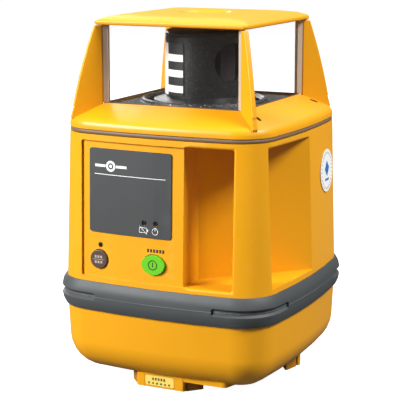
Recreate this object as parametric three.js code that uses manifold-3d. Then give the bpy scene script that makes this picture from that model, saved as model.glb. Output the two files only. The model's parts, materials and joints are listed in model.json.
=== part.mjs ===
// A rotating laser level: a self-levelling laser head that spins inside a four-post glazed cage, on a
// drafted, square casing with a hand grip at one corner, a rubber bumper, a battery drawer and a tripod
// base.
//
// Millimetres, +Z up. The origin is on the floor, under the head's spin axis. The control panel faces -Y.
import * as THREE from "three";
import { mergeVertices } from "three/addons/utils/BufferGeometryUtils.js";
import Module from "manifold-3d";

const wasm = await Module();
wasm.setup();

// ---------------------------------------------------------------- driving dimensions
const GAP = 0.3; // left between pieces that touch
const RUN = 0.4; // radial play of a pin or shaft in its hole
const WALL = 2.6; // casing wall

// Heights above the floor.
const TUB_BOTTOM = 7.4;
const CASING_SPLIT = 62.4; // lower housing below, main body above, under the bumper
const BUMPER_BOTTOM = 52.6;
const BUMPER_TOP = 72.2;
const POCKET_BOTTOM = 75.6; // the panel recess and the grip opening share these two heights
const GASKET_Z = 172; // middle of the seal between main body and upper housing
const GASKET_H = 2.8;
const POCKET_TOP = GASKET_Z - 5.5;
const SILL_Z = GASKET_Z + 16.3; // bottom edge of the windows
const ROOF_Z = 240.2; // underside of the roof's lip
const ROOF_LIP_H = 3.5;
const ROOF_RISE = 3.5; // height of the roof's crown above its lip
const ROOF_TOP = ROOF_Z + ROOF_LIP_H + ROOF_RISE;

// Casing plan: a square with slightly crowned sides and round corners, wider towards the floor.
const FACE_HALF = 76.5; // axis to the middle of a side, at the gasket
const FACE_CROWN_R = 450; // radius of a side's crown
const CORNER_R = 25;
const DRAFT = 0.028; // growth of the half-width per mm below the gasket
const TUB_DRAFT = 0.04; // the lower housing narrows again below the bumper
const TUB_EDGE_R = 22; // rounding between the lower housing's sides and bottom

// Window cage.
const SILL_HALF = 49.7; // half-width of the opening that the windows stand in
const SILL_CORNER_R = 1.2;
const PANE_T = 1.9;
const CORNER_SEAL = 2.2; // side of the square seal strip at each corner of the glazing
const ROOF_HALF = SILL_HALF + 5.7;
const ROOF_CORNER_R = 3;
const ROOF_RIM = 9.2; // width of the roof's flat rim that sits over the panes
const FIN_T = 3.2; // thickness of a corner post
const FIN_ROOT = (SILL_HALF + 1.35) * Math.SQRT2; // axis to a post's inner edge
const FIN_TOP = ROOF_HALF - 0.6; // X and Y of a post's outer edge where it meets the roof
const DIMPLE_R = 18.3;
const DIMPLE_DEPTH = 1.6;

// Grip at the +X -Y corner: an opening behind a corner column.
const GRIP_LEFT = 20.8; // X of the opening's left wall
const COLUMN_X = 54.6; // the column stands beyond this X
const COLUMN_Y = 57.4; // and in front of this -Y
const GRIP_WALL_OFFSET = 75.4; // the slanted back wall runs along y = x - this
const COLUMN_EDGE_R = 3.4;

// Control panel on the front.
const RECESS_DEPTH = 1.8;
const RECESS_LEFT = 55;
const LABEL = { x0: -48.8, x1: 12.4, z0: 105.8, z1: 161.8, r: 2.2, t: 0.5 };
const AUTO_BUTTON = { x: -41.2, z: 87.6, r: 6.3 };
const POWER_BUTTON = { x: 0, z: 88.3, rx: 8.3, rz: 6.6 };
const BUTTON_PROUD = 1.7;
const BUTTON_TRAVEL = 1.2;
const STICKER = { y: 36.6, z: 138, r: 14.8 };
const LED_R = 1.5;
const LEDS = { auto_led: [-40.6, 97.2], low_battery_led: [-7, 115.4], power_led: [1.4, 115.4] };

// Spinning head.
const DRUM_R = 26.4;
const DRUM_WALL = 2.6;
const DRUM_TOP = 231.8;
const CAP_R = DRUM_R + 0.3;
const CAP_TOP = DRUM_TOP + 4.1;
const SKIRT_R = 34.5; // the disc round the foot of the drum
const SKIRT_Z = SILL_Z - 1.7;
const APERTURE_R = 13.2;
const APERTURE_Z = 214.4;
const BEAM_AZIMUTH = 70; // degrees from -Y towards +X, at rest
const STRIP_T = 0.35;
const STRIP_TOP = DRUM_TOP - 4.7;
const DECK_HOLE_R = SKIRT_R + 4.1; // leaves room for the head to tilt
const DECK_RING_R = DECK_HOLE_R + 4.9;
const DECK_T = 2.8;

// Levelling unit under the deck.
const PIVOT_Z = 166; // both tilt axes cross here
const PIN_R = 2.5;
const SHAFT_R = 9.5;
const SHAFT_BORE_R = 7;
const BEARING_R = 15.7;
const HEAD_R = 19.5; // bearing housing of the laser tube
const BARREL_R = 13;
const BARREL_BOTTOM = 100;
const GIMBAL_IN = 37;
const GIMBAL_OUT = 41;
const GIMBAL_H = 8;
const YOKE_X = 48.5;
const YOKE_T = 4.5;
const SHAFT_PULLEY_R = 14;
const MOTOR_PULLEY_R = 5;
const PULLEY_Z = PIVOT_Z + 12; // middle of the belt
const BELT_W = 4;
const BELT_T = 0.9;
const MOTOR_OFFSET = 27.5; // spin motor's distance from the head's axis
const ROLL_ROD_Y = 50;
const PITCH_ROD_X = -31;
const ROD_R = 1.6;
const ROD_GAP = 0.6; // between a rod and the arm it lifts, so that the arm can tilt over it
const CHASSIS_Z = 56; // underside of the chassis plate
const CHASSIS_T = 3;
const PROP_XY = 52; // the plate stands on four posts at this distance in X and Y

// Battery drawer in the lower housing, opening to +Y.
const CELL_R = 16.6;
const CELL_L = 61;
const TRAY_WALL = 1.4;
const TRAY_Z = 14.6;
const TRAY_FRONT = -60;
const DOOR_HALF = 37.5;

// Base.
const FOOT_Y = FACE_HALF - 10.8; // axis to the outer face of a foot
const FOOT_HALF = 16.8; // half-width of that face
const FOOT_CENTRE = -1.7; // X of its middle, on the front foot
const FOOT_DEPTH = 13;
const FOOT_FLARE = 0.93; // how much each side of a foot widens per mm towards the axis
const FOOT_BLOCK = 3; // depth of a foot's hard block, with the rubber behind it
const FOOT_RAISE = 0.5; // the hard block stays this far above the floor
const REAR_FOOT_ANGLE = 124; // from the front foot round to each rear one
const RAIL_END = 46;
const RAIL_Z = 7.2; // underside of the lip beside the front foot
const PLATE = { x0: -12.9, x1: 8.5, z0: 1.6, z1: 8.6 };
const BASE_R = 34;
const BASE_CLEAR = 0.6; // the base boss stays this far above the floor
const THREAD_R = 7.94; // 5/8 inch thread, as a plain bore
const INSERT_R = 12;
const INSERT_TOP = 13.6;

// ---------------------------------------------------------------- solids

/** A closed three.js geometry as a manifold-3d solid. */
function solid(geometry) {
  const bare = geometry.index ? geometry.toNonIndexed() : geometry.clone();
  bare.deleteAttribute("normal");
  bare.deleteAttribute("uv");
  const merged = mergeVertices(bare, 1e-4);
  return new wasm.Manifold(
    new wasm.Mesh({
      numProp: 3,
      vertProperties: merged.attributes.position.array,
      triVerts: new Uint32Array(merged.index.array),
    }),
  );
}

/** A manifold-3d solid as a three.js geometry. */
function geometryOf(body) {
  const mesh = body.getMesh();
  return new THREE.BufferGeometry()
    .setAttribute("position", new THREE.BufferAttribute(mesh.vertProperties, 3))
    .setIndex(new THREE.BufferAttribute(mesh.triVerts, 1));
}

/** Joins solids into one. */
const join = (first, ...rest) => rest.reduce((sum, body) => sum.add(body), first);

/** Cuts solids away from the first. */
const cut = (first, ...rest) => rest.reduce((left, body) => left.subtract(body), first);

/** An upright or lying block between two corners. */
function block(x0, x1, y0, y1, z0, z1) {
  const box = new THREE.BoxGeometry(x1 - x0, y1 - y0, z1 - z0);
  box.translate((x0 + x1) / 2, (y0 + y1) / 2, (z0 + z1) / 2);
  return solid(box);
}

/** An upright cylinder about (x, y). */
function post(r, z0, z1, x = 0, y = 0, segments = 32) {
  const cylinder = new THREE.CylinderGeometry(r, r, z1 - z0, segments);
  cylinder.rotateX(Math.PI / 2);
  cylinder.translate(x, y, (z0 + z1) / 2);
  return solid(cylinder);
}

/** A cylinder lying along Y, about (x, z). */
function rodAlongY(r, y0, y1, x, z, segments = 24) {
  const cylinder = new THREE.CylinderGeometry(r, r, y1 - y0, segments);
  cylinder.translate(x, (y0 + y1) / 2, z);
  return solid(cylinder);
}

/** A cylinder lying along X, about (y, z). */
function rodAlongX(r, x0, x1, y, z, segments = 24) {
  const cylinder = new THREE.CylinderGeometry(r, r, x1 - x0, segments);
  cylinder.rotateZ(Math.PI / 2);
  cylinder.translate((x0 + x1) / 2, y, z);
  return solid(cylinder);
}

/** A turned solid from [radius, z] points: from the bottom of the axis up, or round a closed section. */
function turned(points, segments = 48) {
  const profile = points.map(([r, z]) => new THREE.Vector2(r, z));
  if (points[0][0] > 0) profile.push(profile[0].clone());
  const lathe = new THREE.LatheGeometry(profile, segments);
  lathe.rotateX(Math.PI / 2);
  const body = solid(lathe);
  if (body.volume() > 0) return body;
  return solid(new THREE.LatheGeometry(profile.reverse(), segments).rotateX(Math.PI / 2));
}

/** An upright prism of a plan shape. */
function prism(shape, z0, z1, curveSegments = 6) {
  const extruded = new THREE.ExtrudeGeometry(shape, { depth: z1 - z0, bevelEnabled: false, curveSegments });
  extruded.translate(0, 0, z0);
  return solid(extruded);
}

/** A prism of a shape drawn in X and Z, reaching from y0 to y1. */
function prismAlongY(shape, y0, y1, curveSegments = 6) {
  const extruded = new THREE.ExtrudeGeometry(shape, { depth: y1 - y0, bevelEnabled: false, curveSegments });
  extruded.rotateX(Math.PI / 2);
  extruded.translate(0, y1, 0);
  return solid(extruded);
}

/** A polygon whose corners are rounded: points are [x, y] or [x, y, radius]. */
function roundedShape(points) {
  const shape = new THREE.Shape();
  points.forEach(([x, y, r = 0], i) => {
    const here = new THREE.Vector2(x, y);
    const before = new THREE.Vector2(...points.at(i - 1).slice(0, 2)).sub(here).normalize();
    const after = new THREE.Vector2(...points[(i + 1) % points.length].slice(0, 2)).sub(here).normalize();
    const half = Math.acos(THREE.MathUtils.clamp(before.dot(after), -1, 1)) / 2;
    const run = r / Math.tan(half);
    const from = here.clone().addScaledVector(before, run);
    const to = here.clone().addScaledVector(after, run);
    if (i === 0) shape.moveTo(from.x, from.y);
    else shape.lineTo(from.x, from.y);
    if (r > 0) shape.quadraticCurveTo(x, y, to.x, to.y);
  });
  shape.closePath();
  return shape;
}

/** A rectangle with round corners. */
function roundedRectangle(x0, x1, y0, y1, r) {
  return roundedShape([
    [x0, y0, r],
    [x1, y0, r],
    [x1, y1, r],
    [x0, y1, r],
  ]);
}

// ---------------------------------------------------------------- lofts through casing plans
const SIDE_STEPS = 4;
const CORNER_STEPS = 6;

/** One level of a loft: a square of crowned sides tangent to round corners, anticlockwise from above. */
function planRing(z, half, cornerR, crownR = FACE_CROWN_R) {
  const k = crownR - half;
  const reach = crownR - cornerR;
  const q = (-k + Math.sqrt(2 * reach * reach - k * k)) / 2; // the corner centre is (q, q)
  const tangent = Math.asin(q / reach); // where a side's arc meets its corner's arc
  const ring = [];
  for (let quarter = 0; quarter < 4; quarter++) {
    const turn = (quarter * Math.PI) / 2;
    const put = (x, y) => {
      const c = Math.round(Math.cos(turn));
      const s = Math.round(Math.sin(turn));
      ring.push(new THREE.Vector3(c * x - s * y, s * x + c * y, z));
    };
    for (let i = 0; i < SIDE_STEPS; i++) {
      const a = THREE.MathUtils.lerp(-tangent, tangent, i / SIDE_STEPS);
      put(half - crownR + crownR * Math.cos(a), crownR * Math.sin(a));
    }
    for (let i = 0; i < CORNER_STEPS; i++) {
      const a = THREE.MathUtils.lerp(tangent, Math.PI / 2 - tangent, i / CORNER_STEPS);
      put(q + cornerR * Math.cos(a), q + cornerR * Math.sin(a));
    }
  }
  return ring;
}

/** A solid through rings of equal length: from the lowest up, with flat ends, or closed round a hole. */
function loft(rings, closed = false) {
  const n = rings[0].length;
  const positions = [];
  const triangle = (...corners) => corners.forEach((p) => positions.push(p.x, p.y, p.z));
  const last = closed ? rings.length : rings.length - 1;
  for (let r = 0; r < last; r++) {
    const low = rings[r];
    const high = rings[(r + 1) % rings.length];
    for (let i = 0; i < n; i++) {
      const j = (i + 1) % n;
      triangle(low[i], low[j], high[j]);
      triangle(low[i], high[j], high[i]);
    }
  }
  if (!closed) {
    const bottom = rings[0];
    const top = rings.at(-1);
    const middle = (ring) => ring.reduce((sum, p) => sum.add(p), new THREE.Vector3()).divideScalar(n);
    for (let i = 0; i < n; i++) {
      const j = (i + 1) % n;
      triangle(middle(bottom), bottom[j], bottom[i]);
      triangle(middle(top), top[i], top[j]);
    }
  }
  const made = new THREE.BufferGeometry();
  made.setAttribute("position", new THREE.Float32BufferAttribute(positions, 3));
  return solid(made);
}

/** Half-width of the casing at a height, to its outer face. */
function casingHalf(z) {
  const split = FACE_HALF + DRAFT * (GASKET_Z - CASING_SPLIT);
  if (z >= CASING_SPLIT) return FACE_HALF + DRAFT * (GASKET_Z - z);
  return split - TUB_DRAFT * (CASING_SPLIT - z);
}

/** The casing's outer form between two heights, moved in by an inset. */
function casing(z0, z1, inset = 0) {
  return loft([z0, z1].map((z) => planRing(z, casingHalf(z) - inset, CORNER_R - inset)));
}

/** The lower housing's form with its rounded bottom edge, moved in by an inset. */
function tubForm(inset, z1) {
  const rings = [];
  const steps = 7;
  const r = TUB_EDGE_R - inset;
  for (let i = 0; i <= steps; i++) {
    const a = (i / steps) * (Math.PI / 2);
    const z = TUB_BOTTOM + inset + r * (1 - Math.cos(a));
    const pull = r * (1 - Math.sin(a));
    rings.push(planRing(z, casingHalf(z) - inset - pull, Math.max(CORNER_R - inset - pull, 13)));
  }
  rings.push(planRing(z1, casingHalf(z1) - inset, CORNER_R - inset));
  return loft(rings);
}

// ---------------------------------------------------------------- scene graph
const laserLevel = new THREE.Group();

const COLOURS = {
  casing: { color: 0xf5a81c, roughness: 0.45 },
  rubberGrey: { color: 0x55595b, roughness: 0.8 },
  gasket: { color: 0x6e5236, roughness: 0.7 },
  glass: { color: 0xe8f0ee, roughness: 0.05, transparent: true, opacity: 0.25 },
  seal: { color: 0xb9a893, roughness: 0.6 },
  black: { color: 0x202224, roughness: 0.6 },
  label: { color: 0x4c5052, roughness: 0.5 },
  power: { color: 0x55c51c, roughness: 0.35 },
  brown: { color: 0x5a4538, roughness: 0.45 },
  led: { color: 0x1a1512, roughness: 0.2 },
  metal: { color: 0xa9adb0, roughness: 0.35, metalness: 1 },
  brass: { color: 0xb89a55, roughness: 0.35, metalness: 1 },
  plate: { color: 0xe0bd45, roughness: 0.35 },
  white: { color: 0xf2f2ee, roughness: 0.5 },
  board: { color: 0x1f6a3d, roughness: 0.5 },
  cell: { color: 0x8a8f94, roughness: 0.4 },
};

/** Adds one named piece. */
function add(name, body, look, position = [0, 0, 0]) {
  const mesh = new THREE.Mesh(geometryOf(body), new THREE.MeshStandardMaterial(COLOURS[look]));
  mesh.name = name;
  mesh.position.set(...position);
  laserLevel.add(mesh);
}

// ---------------------------------------------------------------- lower housing, drawer and base
const FAR = 120; // further out than any piece

/** A foot's plan at -Y, between two depths behind its face, moved in by an inset. */
function footShape(front, back, inset = 0) {
  const halfAt = (depth) => FOOT_HALF + depth * FOOT_FLARE - inset;
  return roundedShape([
    [FOOT_CENTRE - halfAt(back), -FOOT_Y + back, 1.5],
    [FOOT_CENTRE - halfAt(front), -FOOT_Y + front, 1.5],
    [FOOT_CENTRE + halfAt(front), -FOOT_Y + front, 1.5],
    [FOOT_CENTRE + halfAt(back), -FOOT_Y + back, 1.5],
  ]);
}

/** The drawer's doorway in the rear wall, drawn in X and Z, with its clearance. */
function doorShape(clearance) {
  const r = 5 + clearance;
  const top = TRAY_Z + TRAY_WALL + 2 * CELL_R + 1.4;
  const half = DOOR_HALF + clearance;
  return roundedRectangle(-half, half, TRAY_Z - 1.4 - clearance, top + clearance, r);
}

/** A lip under the front edge, running on from the front foot. */
function frontRail() {
  const shape = roundedShape([
    [-14, -FOOT_Y + 14],
    [-14, -FOOT_Y + 0.4],
    [RAIL_END, -FOOT_Y + 0.4, 4],
    [RAIL_END + 4, -FOOT_Y + 14],
  ]);
  return prism(shape, RAIL_Z, TUB_BOTTOM + 5);
}

function addLowerHousing() {
  const outer = tubForm(0, CASING_SPLIT - GAP / 2);
  const inner = tubForm(WALL, CASING_SPLIT + 1);
  const boss = post(INSERT_R + 5, TUB_BOTTOM + 1, INSERT_TOP + GAP);
  const bossBore = post(INSERT_R + GAP, 0, INSERT_TOP + 1);
  const doorway = prismAlongY(doorShape(0.4), 60, FAR);
  const drain = block(66, FAR, -53, -41, TUB_BOTTOM + 7.4, TUB_BOTTOM + 9);
  const shell = cut(join(outer, frontRail()), inner);
  const props = [-1, 1].flatMap((sx) =>
    [-1, 1].map((sy) => {
      const prop = post(4.5, TUB_BOTTOM + 1, CHASSIS_Z - GAP, sx * PROP_XY, sy * PROP_XY, 16);
      return prop.intersect(outer);
    }),
  );
  add("lower_housing", cut(join(shell, boss, ...props), bossBore, doorway, drain), "casing");
}

function addBase() {
  const top = TUB_BOTTOM - GAP;
  const flange = turned([
    [INSERT_R + GAP, BASE_CLEAR],
    [BASE_R - 2, BASE_CLEAR],
    [BASE_R, BASE_CLEAR + 2],
    [BASE_R, top],
    [INSERT_R + GAP, top],
  ]);
  add("base_plate", flange, "metal");
  const insert = turned(
    [
      [THREAD_R, BASE_CLEAR],
      [INSERT_R, BASE_CLEAR],
      [INSERT_R, INSERT_TOP],
      [THREAD_R, INSERT_TOP],
    ],
    32,
  );
  add("thread_insert", insert, "brass");
  const tub = join(tubForm(0, 40), frontRail()).translate(0, 0, -GAP);
  const underside = cut(block(-FAR, FAR, -FAR, FAR, -1, 30), tub);
  const { x0, x1, z0, z1 } = PLATE;
  const plateSeat = block(x0 - GAP, x1 + GAP, -FOOT_Y - 1, -FOOT_Y + 0.5, z0 - GAP, z1 + GAP);
  const feet = { front: 0, rear_right: REAR_FOOT_ANGLE, rear_left: -REAR_FOOT_ANGLE };
  for (const [place, angle] of Object.entries(feet)) {
    const whole = prism(footShape(0, FOOT_BLOCK), FOOT_RAISE, TUB_BOTTOM + 8);
    const shaped = place === "front" ? cut(whole, plateSeat) : whole;
    const pad = prism(footShape(FOOT_BLOCK + GAP, FOOT_DEPTH, 1.2), 0, TUB_BOTTOM - GAP);
    add("foot_" + place, shaped.rotate(0, 0, angle).intersect(underside), "casing");
    add("foot_pad_" + place, pad.rotate(0, 0, angle).intersect(underside), "black");
  }
  const plate = roundedRectangle(x0, x1, z0, z1, 1);
  add("name_plate", prismAlongY(plate, -FOOT_Y, -FOOT_Y + 0.2, 3), "plate");
}

function addBatteryDrawer() {
  const floor = TRAY_Z;
  const bed = floor + TRAY_WALL;
  const width = 2 * CELL_R + 0.6; // room for one row of cells
  const side = width + TRAY_WALL;
  const back = TRAY_FRONT + 2 * CELL_L + 4.4;
  const top = bed + CELL_R;
  const box = block(-side, side, TRAY_FRONT, back, floor, top);
  const rows = [-1, 1].map((s) =>
    block(
      Math.min(s * 0.5, s * width),
      Math.max(s * 0.5, s * width),
      TRAY_FRONT + TRAY_WALL,
      back - TRAY_WALL,
      bed,
      top + 1,
    ),
  );
  add("battery_tray", cut(box, ...rows), "black");
  for (let i = 0; i < 4; i++) {
    const x = (i % 2 ? 1 : -1) * (width / 2 + 0.2);
    const y = TRAY_FRONT + TRAY_WALL + 0.6 + (i < 2 ? 0 : CELL_L + 0.3);
    const can = rodAlongY(CELL_R, y, y + CELL_L - 1.6, x, bed + GAP + CELL_R, 32);
    const nub = rodAlongY(4.5, y + CELL_L - 2, y + CELL_L, x, bed + GAP + CELL_R, 16);
    add("battery_cell_" + (i + 1), join(can, nub), "cell");
  }
  const knobZ = TRAY_Z + CELL_R + 1;
  const wall = cut(tubForm(0, CASING_SPLIT - 1), tubForm(WALL, CASING_SPLIT));
  const panel = wall.intersect(prismAlongY(doorShape(0), 60, FAR));
  const seat = rodAlongY(9.4, 60, FAR, 0, knobZ, 32);
  const knobFace = casingHalf(knobZ) - 0.2;
  const backing = block(-12, 12, back + GAP, knobFace - WALL + 0.6, knobZ - 12, knobZ + 12);
  add("battery_door", join(cut(panel, seat), backing), "casing");
  const disc = rodAlongY(9, knobFace - 1.7, knobFace, 0, knobZ, 32);
  const grip = block(-7.6, 7.6, knobFace - 0.5, knobFace + 1.6, knobZ - 1.6, knobZ + 1.6);
  add("battery_latch", join(disc, grip), "black");
}

// ---------------------------------------------------------------- main body
/** The region in front of the grip's slanted wall, moved back by a wall. */
function gripCorner(z0, z1, wall) {
  const slant = wall * Math.SQRT2;
  const x0 = GRIP_LEFT - wall;
  const shape = roundedShape([
    [x0, -FAR],
    [FAR, -FAR],
    [FAR, FAR - GRIP_WALL_OFFSET + slant],
    [x0, x0 - GRIP_WALL_OFFSET + slant, 3],
  ]);
  return prism(shape, z0, z1);
}

/** The grip opening: that region without the corner column. */
function gripOpening() {
  const column = roundedShape([
    [COLUMN_X, -FAR, 0],
    [FAR, -FAR, 0],
    [FAR, -COLUMN_Y, 0],
    [COLUMN_X, -COLUMN_Y, COLUMN_EDGE_R],
  ]);
  return cut(gripCorner(POCKET_BOTTOM, POCKET_TOP, 0), prism(column, POCKET_BOTTOM - 1, POCKET_TOP + 1));
}

/** A slice of the casing's skin between two insets, all round. */
function skin(outset, inset, z0, z1) {
  return cut(casing(z0, z1, outset), casing(z0 - 1, z1 + 1, inset));
}

/** A window through the front face only, from a shape drawn in X and Z. */
const throughFront = (shape) => prismAlongY(shape, -FAR, -40);

function addMainBody() {
  const top = GASKET_Z - GASKET_H / 2 - GAP / 2;
  const bottom = CASING_SPLIT + GAP / 2;
  const outer = casing(bottom, top);
  const gripWalls = gripCorner(POCKET_BOTTOM - WALL, POCKET_TOP + WALL, WALL);
  const cavity = cut(casing(bottom - 1, top + 1, WALL), gripWalls);
  const recess = roundedRectangle(-RECESS_LEFT, GRIP_LEFT + 1, POCKET_BOTTOM, POCKET_TOP, 1.5);
  const recessSkin = skin(-5, RECESS_DEPTH, POCKET_BOTTOM - 2, POCKET_TOP + 2);
  const recessVolume = recessSkin.intersect(throughFront(recess));
  const backing = skin(RECESS_DEPTH, RECESS_DEPTH + WALL, POCKET_BOTTOM - 3, POCKET_TOP + 3).intersect(
    throughFront(roundedRectangle(-RECESS_LEFT - 3, GRIP_LEFT, POCKET_BOTTOM - 3, POCKET_TOP + 3, 1.5)),
  );
  const holes = [
    rodAlongY(AUTO_BUTTON.r + RUN, -FAR, -60, AUTO_BUTTON.x, AUTO_BUTTON.z, 32),
    prismAlongY(powerShape(RUN), -FAR, -60, 8),
    ...Object.values(LEDS).map(([x, z]) => rodAlongY(LED_R + GAP, -FAR, -60, x, z, 16)),
  ];
  const shell = join(cut(outer, cavity), backing);
  add("main_body", cut(shell, gripOpening(), recessVolume, ...holes), "casing");
}

/** The power button's oval outline, drawn in X and Z. */
function powerShape(clearance) {
  const shape = new THREE.Shape();
  shape.absellipse(
    POWER_BUTTON.x,
    POWER_BUTTON.z,
    POWER_BUTTON.rx + clearance,
    POWER_BUTTON.rz + clearance,
    0,
    2 * Math.PI,
  );
  return shape;
}

function addControls() {
  const label = roundedRectangle(LABEL.x0, LABEL.x1, LABEL.z0, LABEL.z1, LABEL.r);
  const ledHoles = Object.values(LEDS).map(([x, z]) => rodAlongY(LED_R + GAP, -FAR, -60, x, z, 16));
  const sheet = skin(RECESS_DEPTH - GAP - LABEL.t, RECESS_DEPTH - GAP, LABEL.z0 - 2, LABEL.z1 + 2);
  add("panel_label", cut(sheet.intersect(throughFront(label)), ...ledHoles), "label");
  const face = casingHalf(AUTO_BUTTON.z) - RECESS_DEPTH;
  const inner = face - WALL - 4.2;
  const autoFace = face - (AUTO_BUTTON.x * AUTO_BUTTON.x) / (2 * FACE_CROWN_R);
  const { x, z, r } = AUTO_BUTTON;
  const autoCap = rodAlongY(r, -autoFace - BUTTON_PROUD, -inner, x, z, 32);
  const autoFlange = rodAlongY(r + 1.4, -inner - 1, -inner, x, z, 32);
  add("auto_button", join(autoCap, autoFlange), "brown");
  const powerCap = prismAlongY(powerShape(0), -face - BUTTON_PROUD, -inner, 8);
  const powerFlange = prismAlongY(powerShape(1.4), -inner - 1, -inner, 8);
  add("power_button", join(powerCap, powerFlange), "power");
  const boardY = -inner + BUTTON_TRAVEL + 0.6;
  for (const [name, [ledX, ledZ]] of Object.entries(LEDS)) {
    const front = casingHalf(ledZ) - RECESS_DEPTH - (ledX * ledX) / (2 * FACE_CROWN_R);
    add(name, rodAlongY(LED_R, -front - 0.1, boardY - GAP, ledX, ledZ, 16), "led");
  }
  add("control_board", block(-53, 15, boardY, boardY + 1.6, POCKET_BOTTOM + 3, POCKET_TOP - 4), "board");
  const badge = new THREE.Shape();
  badge.absellipse(STICKER.y, STICKER.z, STICKER.r, STICKER.r, 0, 2 * Math.PI);
  const badgeSolid = prismAlongX(badge, 40, FAR);
  add("inspection_sticker", skin(-GAP - 0.3, -GAP, 100, 170).intersect(badgeSolid), "white");
}

/** A prism of a shape drawn in Y and Z, reaching from x0 to x1. */
function prismAlongX(shape, x0, x1, curveSegments = 16) {
  const extruded = new THREE.ExtrudeGeometry(shape, { depth: x1 - x0, bevelEnabled: false, curveSegments });
  const axes = new THREE.Matrix4().makeBasis(
    new THREE.Vector3(0, 1, 0),
    new THREE.Vector3(0, 0, 1),
    new THREE.Vector3(1, 0, 0),
  );
  extruded.applyMatrix4(axes);
  extruded.translate(x0, 0, 0);
  return solid(extruded);
}

// ---------------------------------------------------------------- bumper and gasket
/** A ring round the casing, from [outset, z] points of its section, anticlockwise. */
function hoop(section) {
  return loft(
    section.map(([out, z]) => planRing(z, casingHalf(z) + out, CORNER_R + out)),
    true,
  );
}

const GROOVE_FLOOR = 1.9; // the bumper's corner grooves: their floor's outset, their ends and their height
const GROOVE_START = 42.5;
const GROOVE_HALF_H = 2.7;

function addBumper() {
  const z0 = BUMPER_BOTTOM;
  const z1 = BUMPER_TOP;
  const mid = (z0 + z1) / 2;
  const band = hoop([
    [GAP, z1],
    [GAP, mid],
    [GAP, z0],
    [1.6, z0],
    [3, z0 + 3],
    [3.6, mid - 3],
    [3.6, mid + 3],
    [3, z1 - 3.4],
    [1.2, z1],
  ]);
  const groove = hoop([
    [GROOVE_FLOOR, mid + 1],
    [GROOVE_FLOOR, mid - 1],
    [6, mid - 4.6],
    [6, mid + 4.6],
  ]);
  const end = roundedRectangle(GROOVE_START, FAR, mid - GROOVE_HALF_H, mid + GROOVE_HALF_H, GROOVE_HALF_H);
  const bothWays = (half) => join(half, half.rotate(0, 0, 180));
  const onFronts = bothWays(prismAlongY(end, -FAR, FAR, 5));
  const onSides = bothWays(prismAlongX(end, -FAR, FAR, 5));
  add("bumper_band", cut(band, groove.intersect(onFronts).intersect(onSides)), "rubberGrey");
}

function addGasket() {
  const z0 = GASKET_Z - GASKET_H / 2 + GAP / 2;
  const z1 = GASKET_Z + GASKET_H / 2 - GAP / 2;
  add(
    "housing_gasket",
    hoop([
      [-WALL, z1],
      [-WALL, z0],
      [-0.5, z0],
      [-0.1, (z0 + z1) / 2],
      [-0.5, z1],
    ]),
    "gasket",
  );
}

// ---------------------------------------------------------------- upper housing, windows and roof
const SHOULDER_R = 5; // rounding of the shoulder's outer edge
const SHOULDER_RISE = 8.5; // height of that edge's top above the gasket

/** The shoulder's form, moved in by an inset: a short upright wall, a rounded edge and a slope up. */
function shoulderForm(inset, z0) {
  const wallTop = GASKET_Z + SHOULDER_RISE - SHOULDER_R;
  const half = FACE_HALF - inset;
  const rings = [planRing(z0, half, CORNER_R - inset), planRing(wallTop, half, CORNER_R - inset)];
  const lean = THREE.MathUtils.degToRad(66); // the slope starts where the rounding has turned this far
  for (let i = 1; i <= 4; i++) {
    const a = (lean * i) / 4;
    const pull = SHOULDER_R * (1 - Math.cos(a));
    const z = wallTop + (SHOULDER_R - inset) * Math.sin(a);
    rings.push(planRing(z, half - pull, CORNER_R - inset - pull));
  }
  rings.push(planRing(SILL_Z - inset, SILL_HALF + 1.2, SILL_CORNER_R + 1, 20 * FACE_CROWN_R));
  return loft(rings);
}

/** One corner post: a thin fin in the diagonal plane, drawn in distance from the axis and height. */
function cornerFin(angle) {
  const reach = Math.SQRT2;
  const outline = new THREE.Shape();
  outline.moveTo(FIN_ROOT, SILL_Z - 4);
  outline.lineTo(65.4 * reach, GASKET_Z + SHOULDER_RISE - 4);
  outline.lineTo(66.4 * reach, GASKET_Z + SHOULDER_RISE - 1);
  outline.quadraticCurveTo(62.6 * reach, 209, FIN_TOP * reach, ROOF_Z - GAP);
  outline.lineTo(FIN_ROOT, ROOF_Z - GAP);
  outline.closePath();
  const fin = new THREE.ExtrudeGeometry(outline, { depth: FIN_T, bevelEnabled: false, curveSegments: 8 });
  fin.translate(0, 0, -FIN_T / 2);
  fin.rotateX(Math.PI / 2);
  fin.rotateZ(THREE.MathUtils.degToRad(angle));
  return solid(fin);
}

function addUpperHousing() {
  const z0 = GASKET_Z + GASKET_H / 2 + GAP / 2;
  const outer = shoulderForm(0, z0);
  const inner = shoulderForm(WALL, z0 - 1);
  const opening = prism(
    roundedRectangle(-SILL_HALF, SILL_HALF, -SILL_HALF, SILL_HALF, SILL_CORNER_R),
    z0 - 1,
    ROOF_TOP,
  );
  const fins = [45, 135, 225, 315].map(cornerFin);
  const drains = [-1, 1].flatMap((side) =>
    [-1, 1].map((end) => drainSlot(side, end)),
  );
  add("upper_housing", cut(join(cut(outer, inner), ...fins), opening, ...drains), "casing");
}

/** A small drain slot in the shoulder beside a post, on the +X or -X side. */
function drainSlot(side, end) {
  const slot = new THREE.BoxGeometry(4.8, 2, 12);
  slot.rotateZ(THREE.MathUtils.degToRad(35 * side * end));
  slot.translate(side * 61, end * 49.3, SILL_Z - 3);
  return solid(slot);
}

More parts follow.
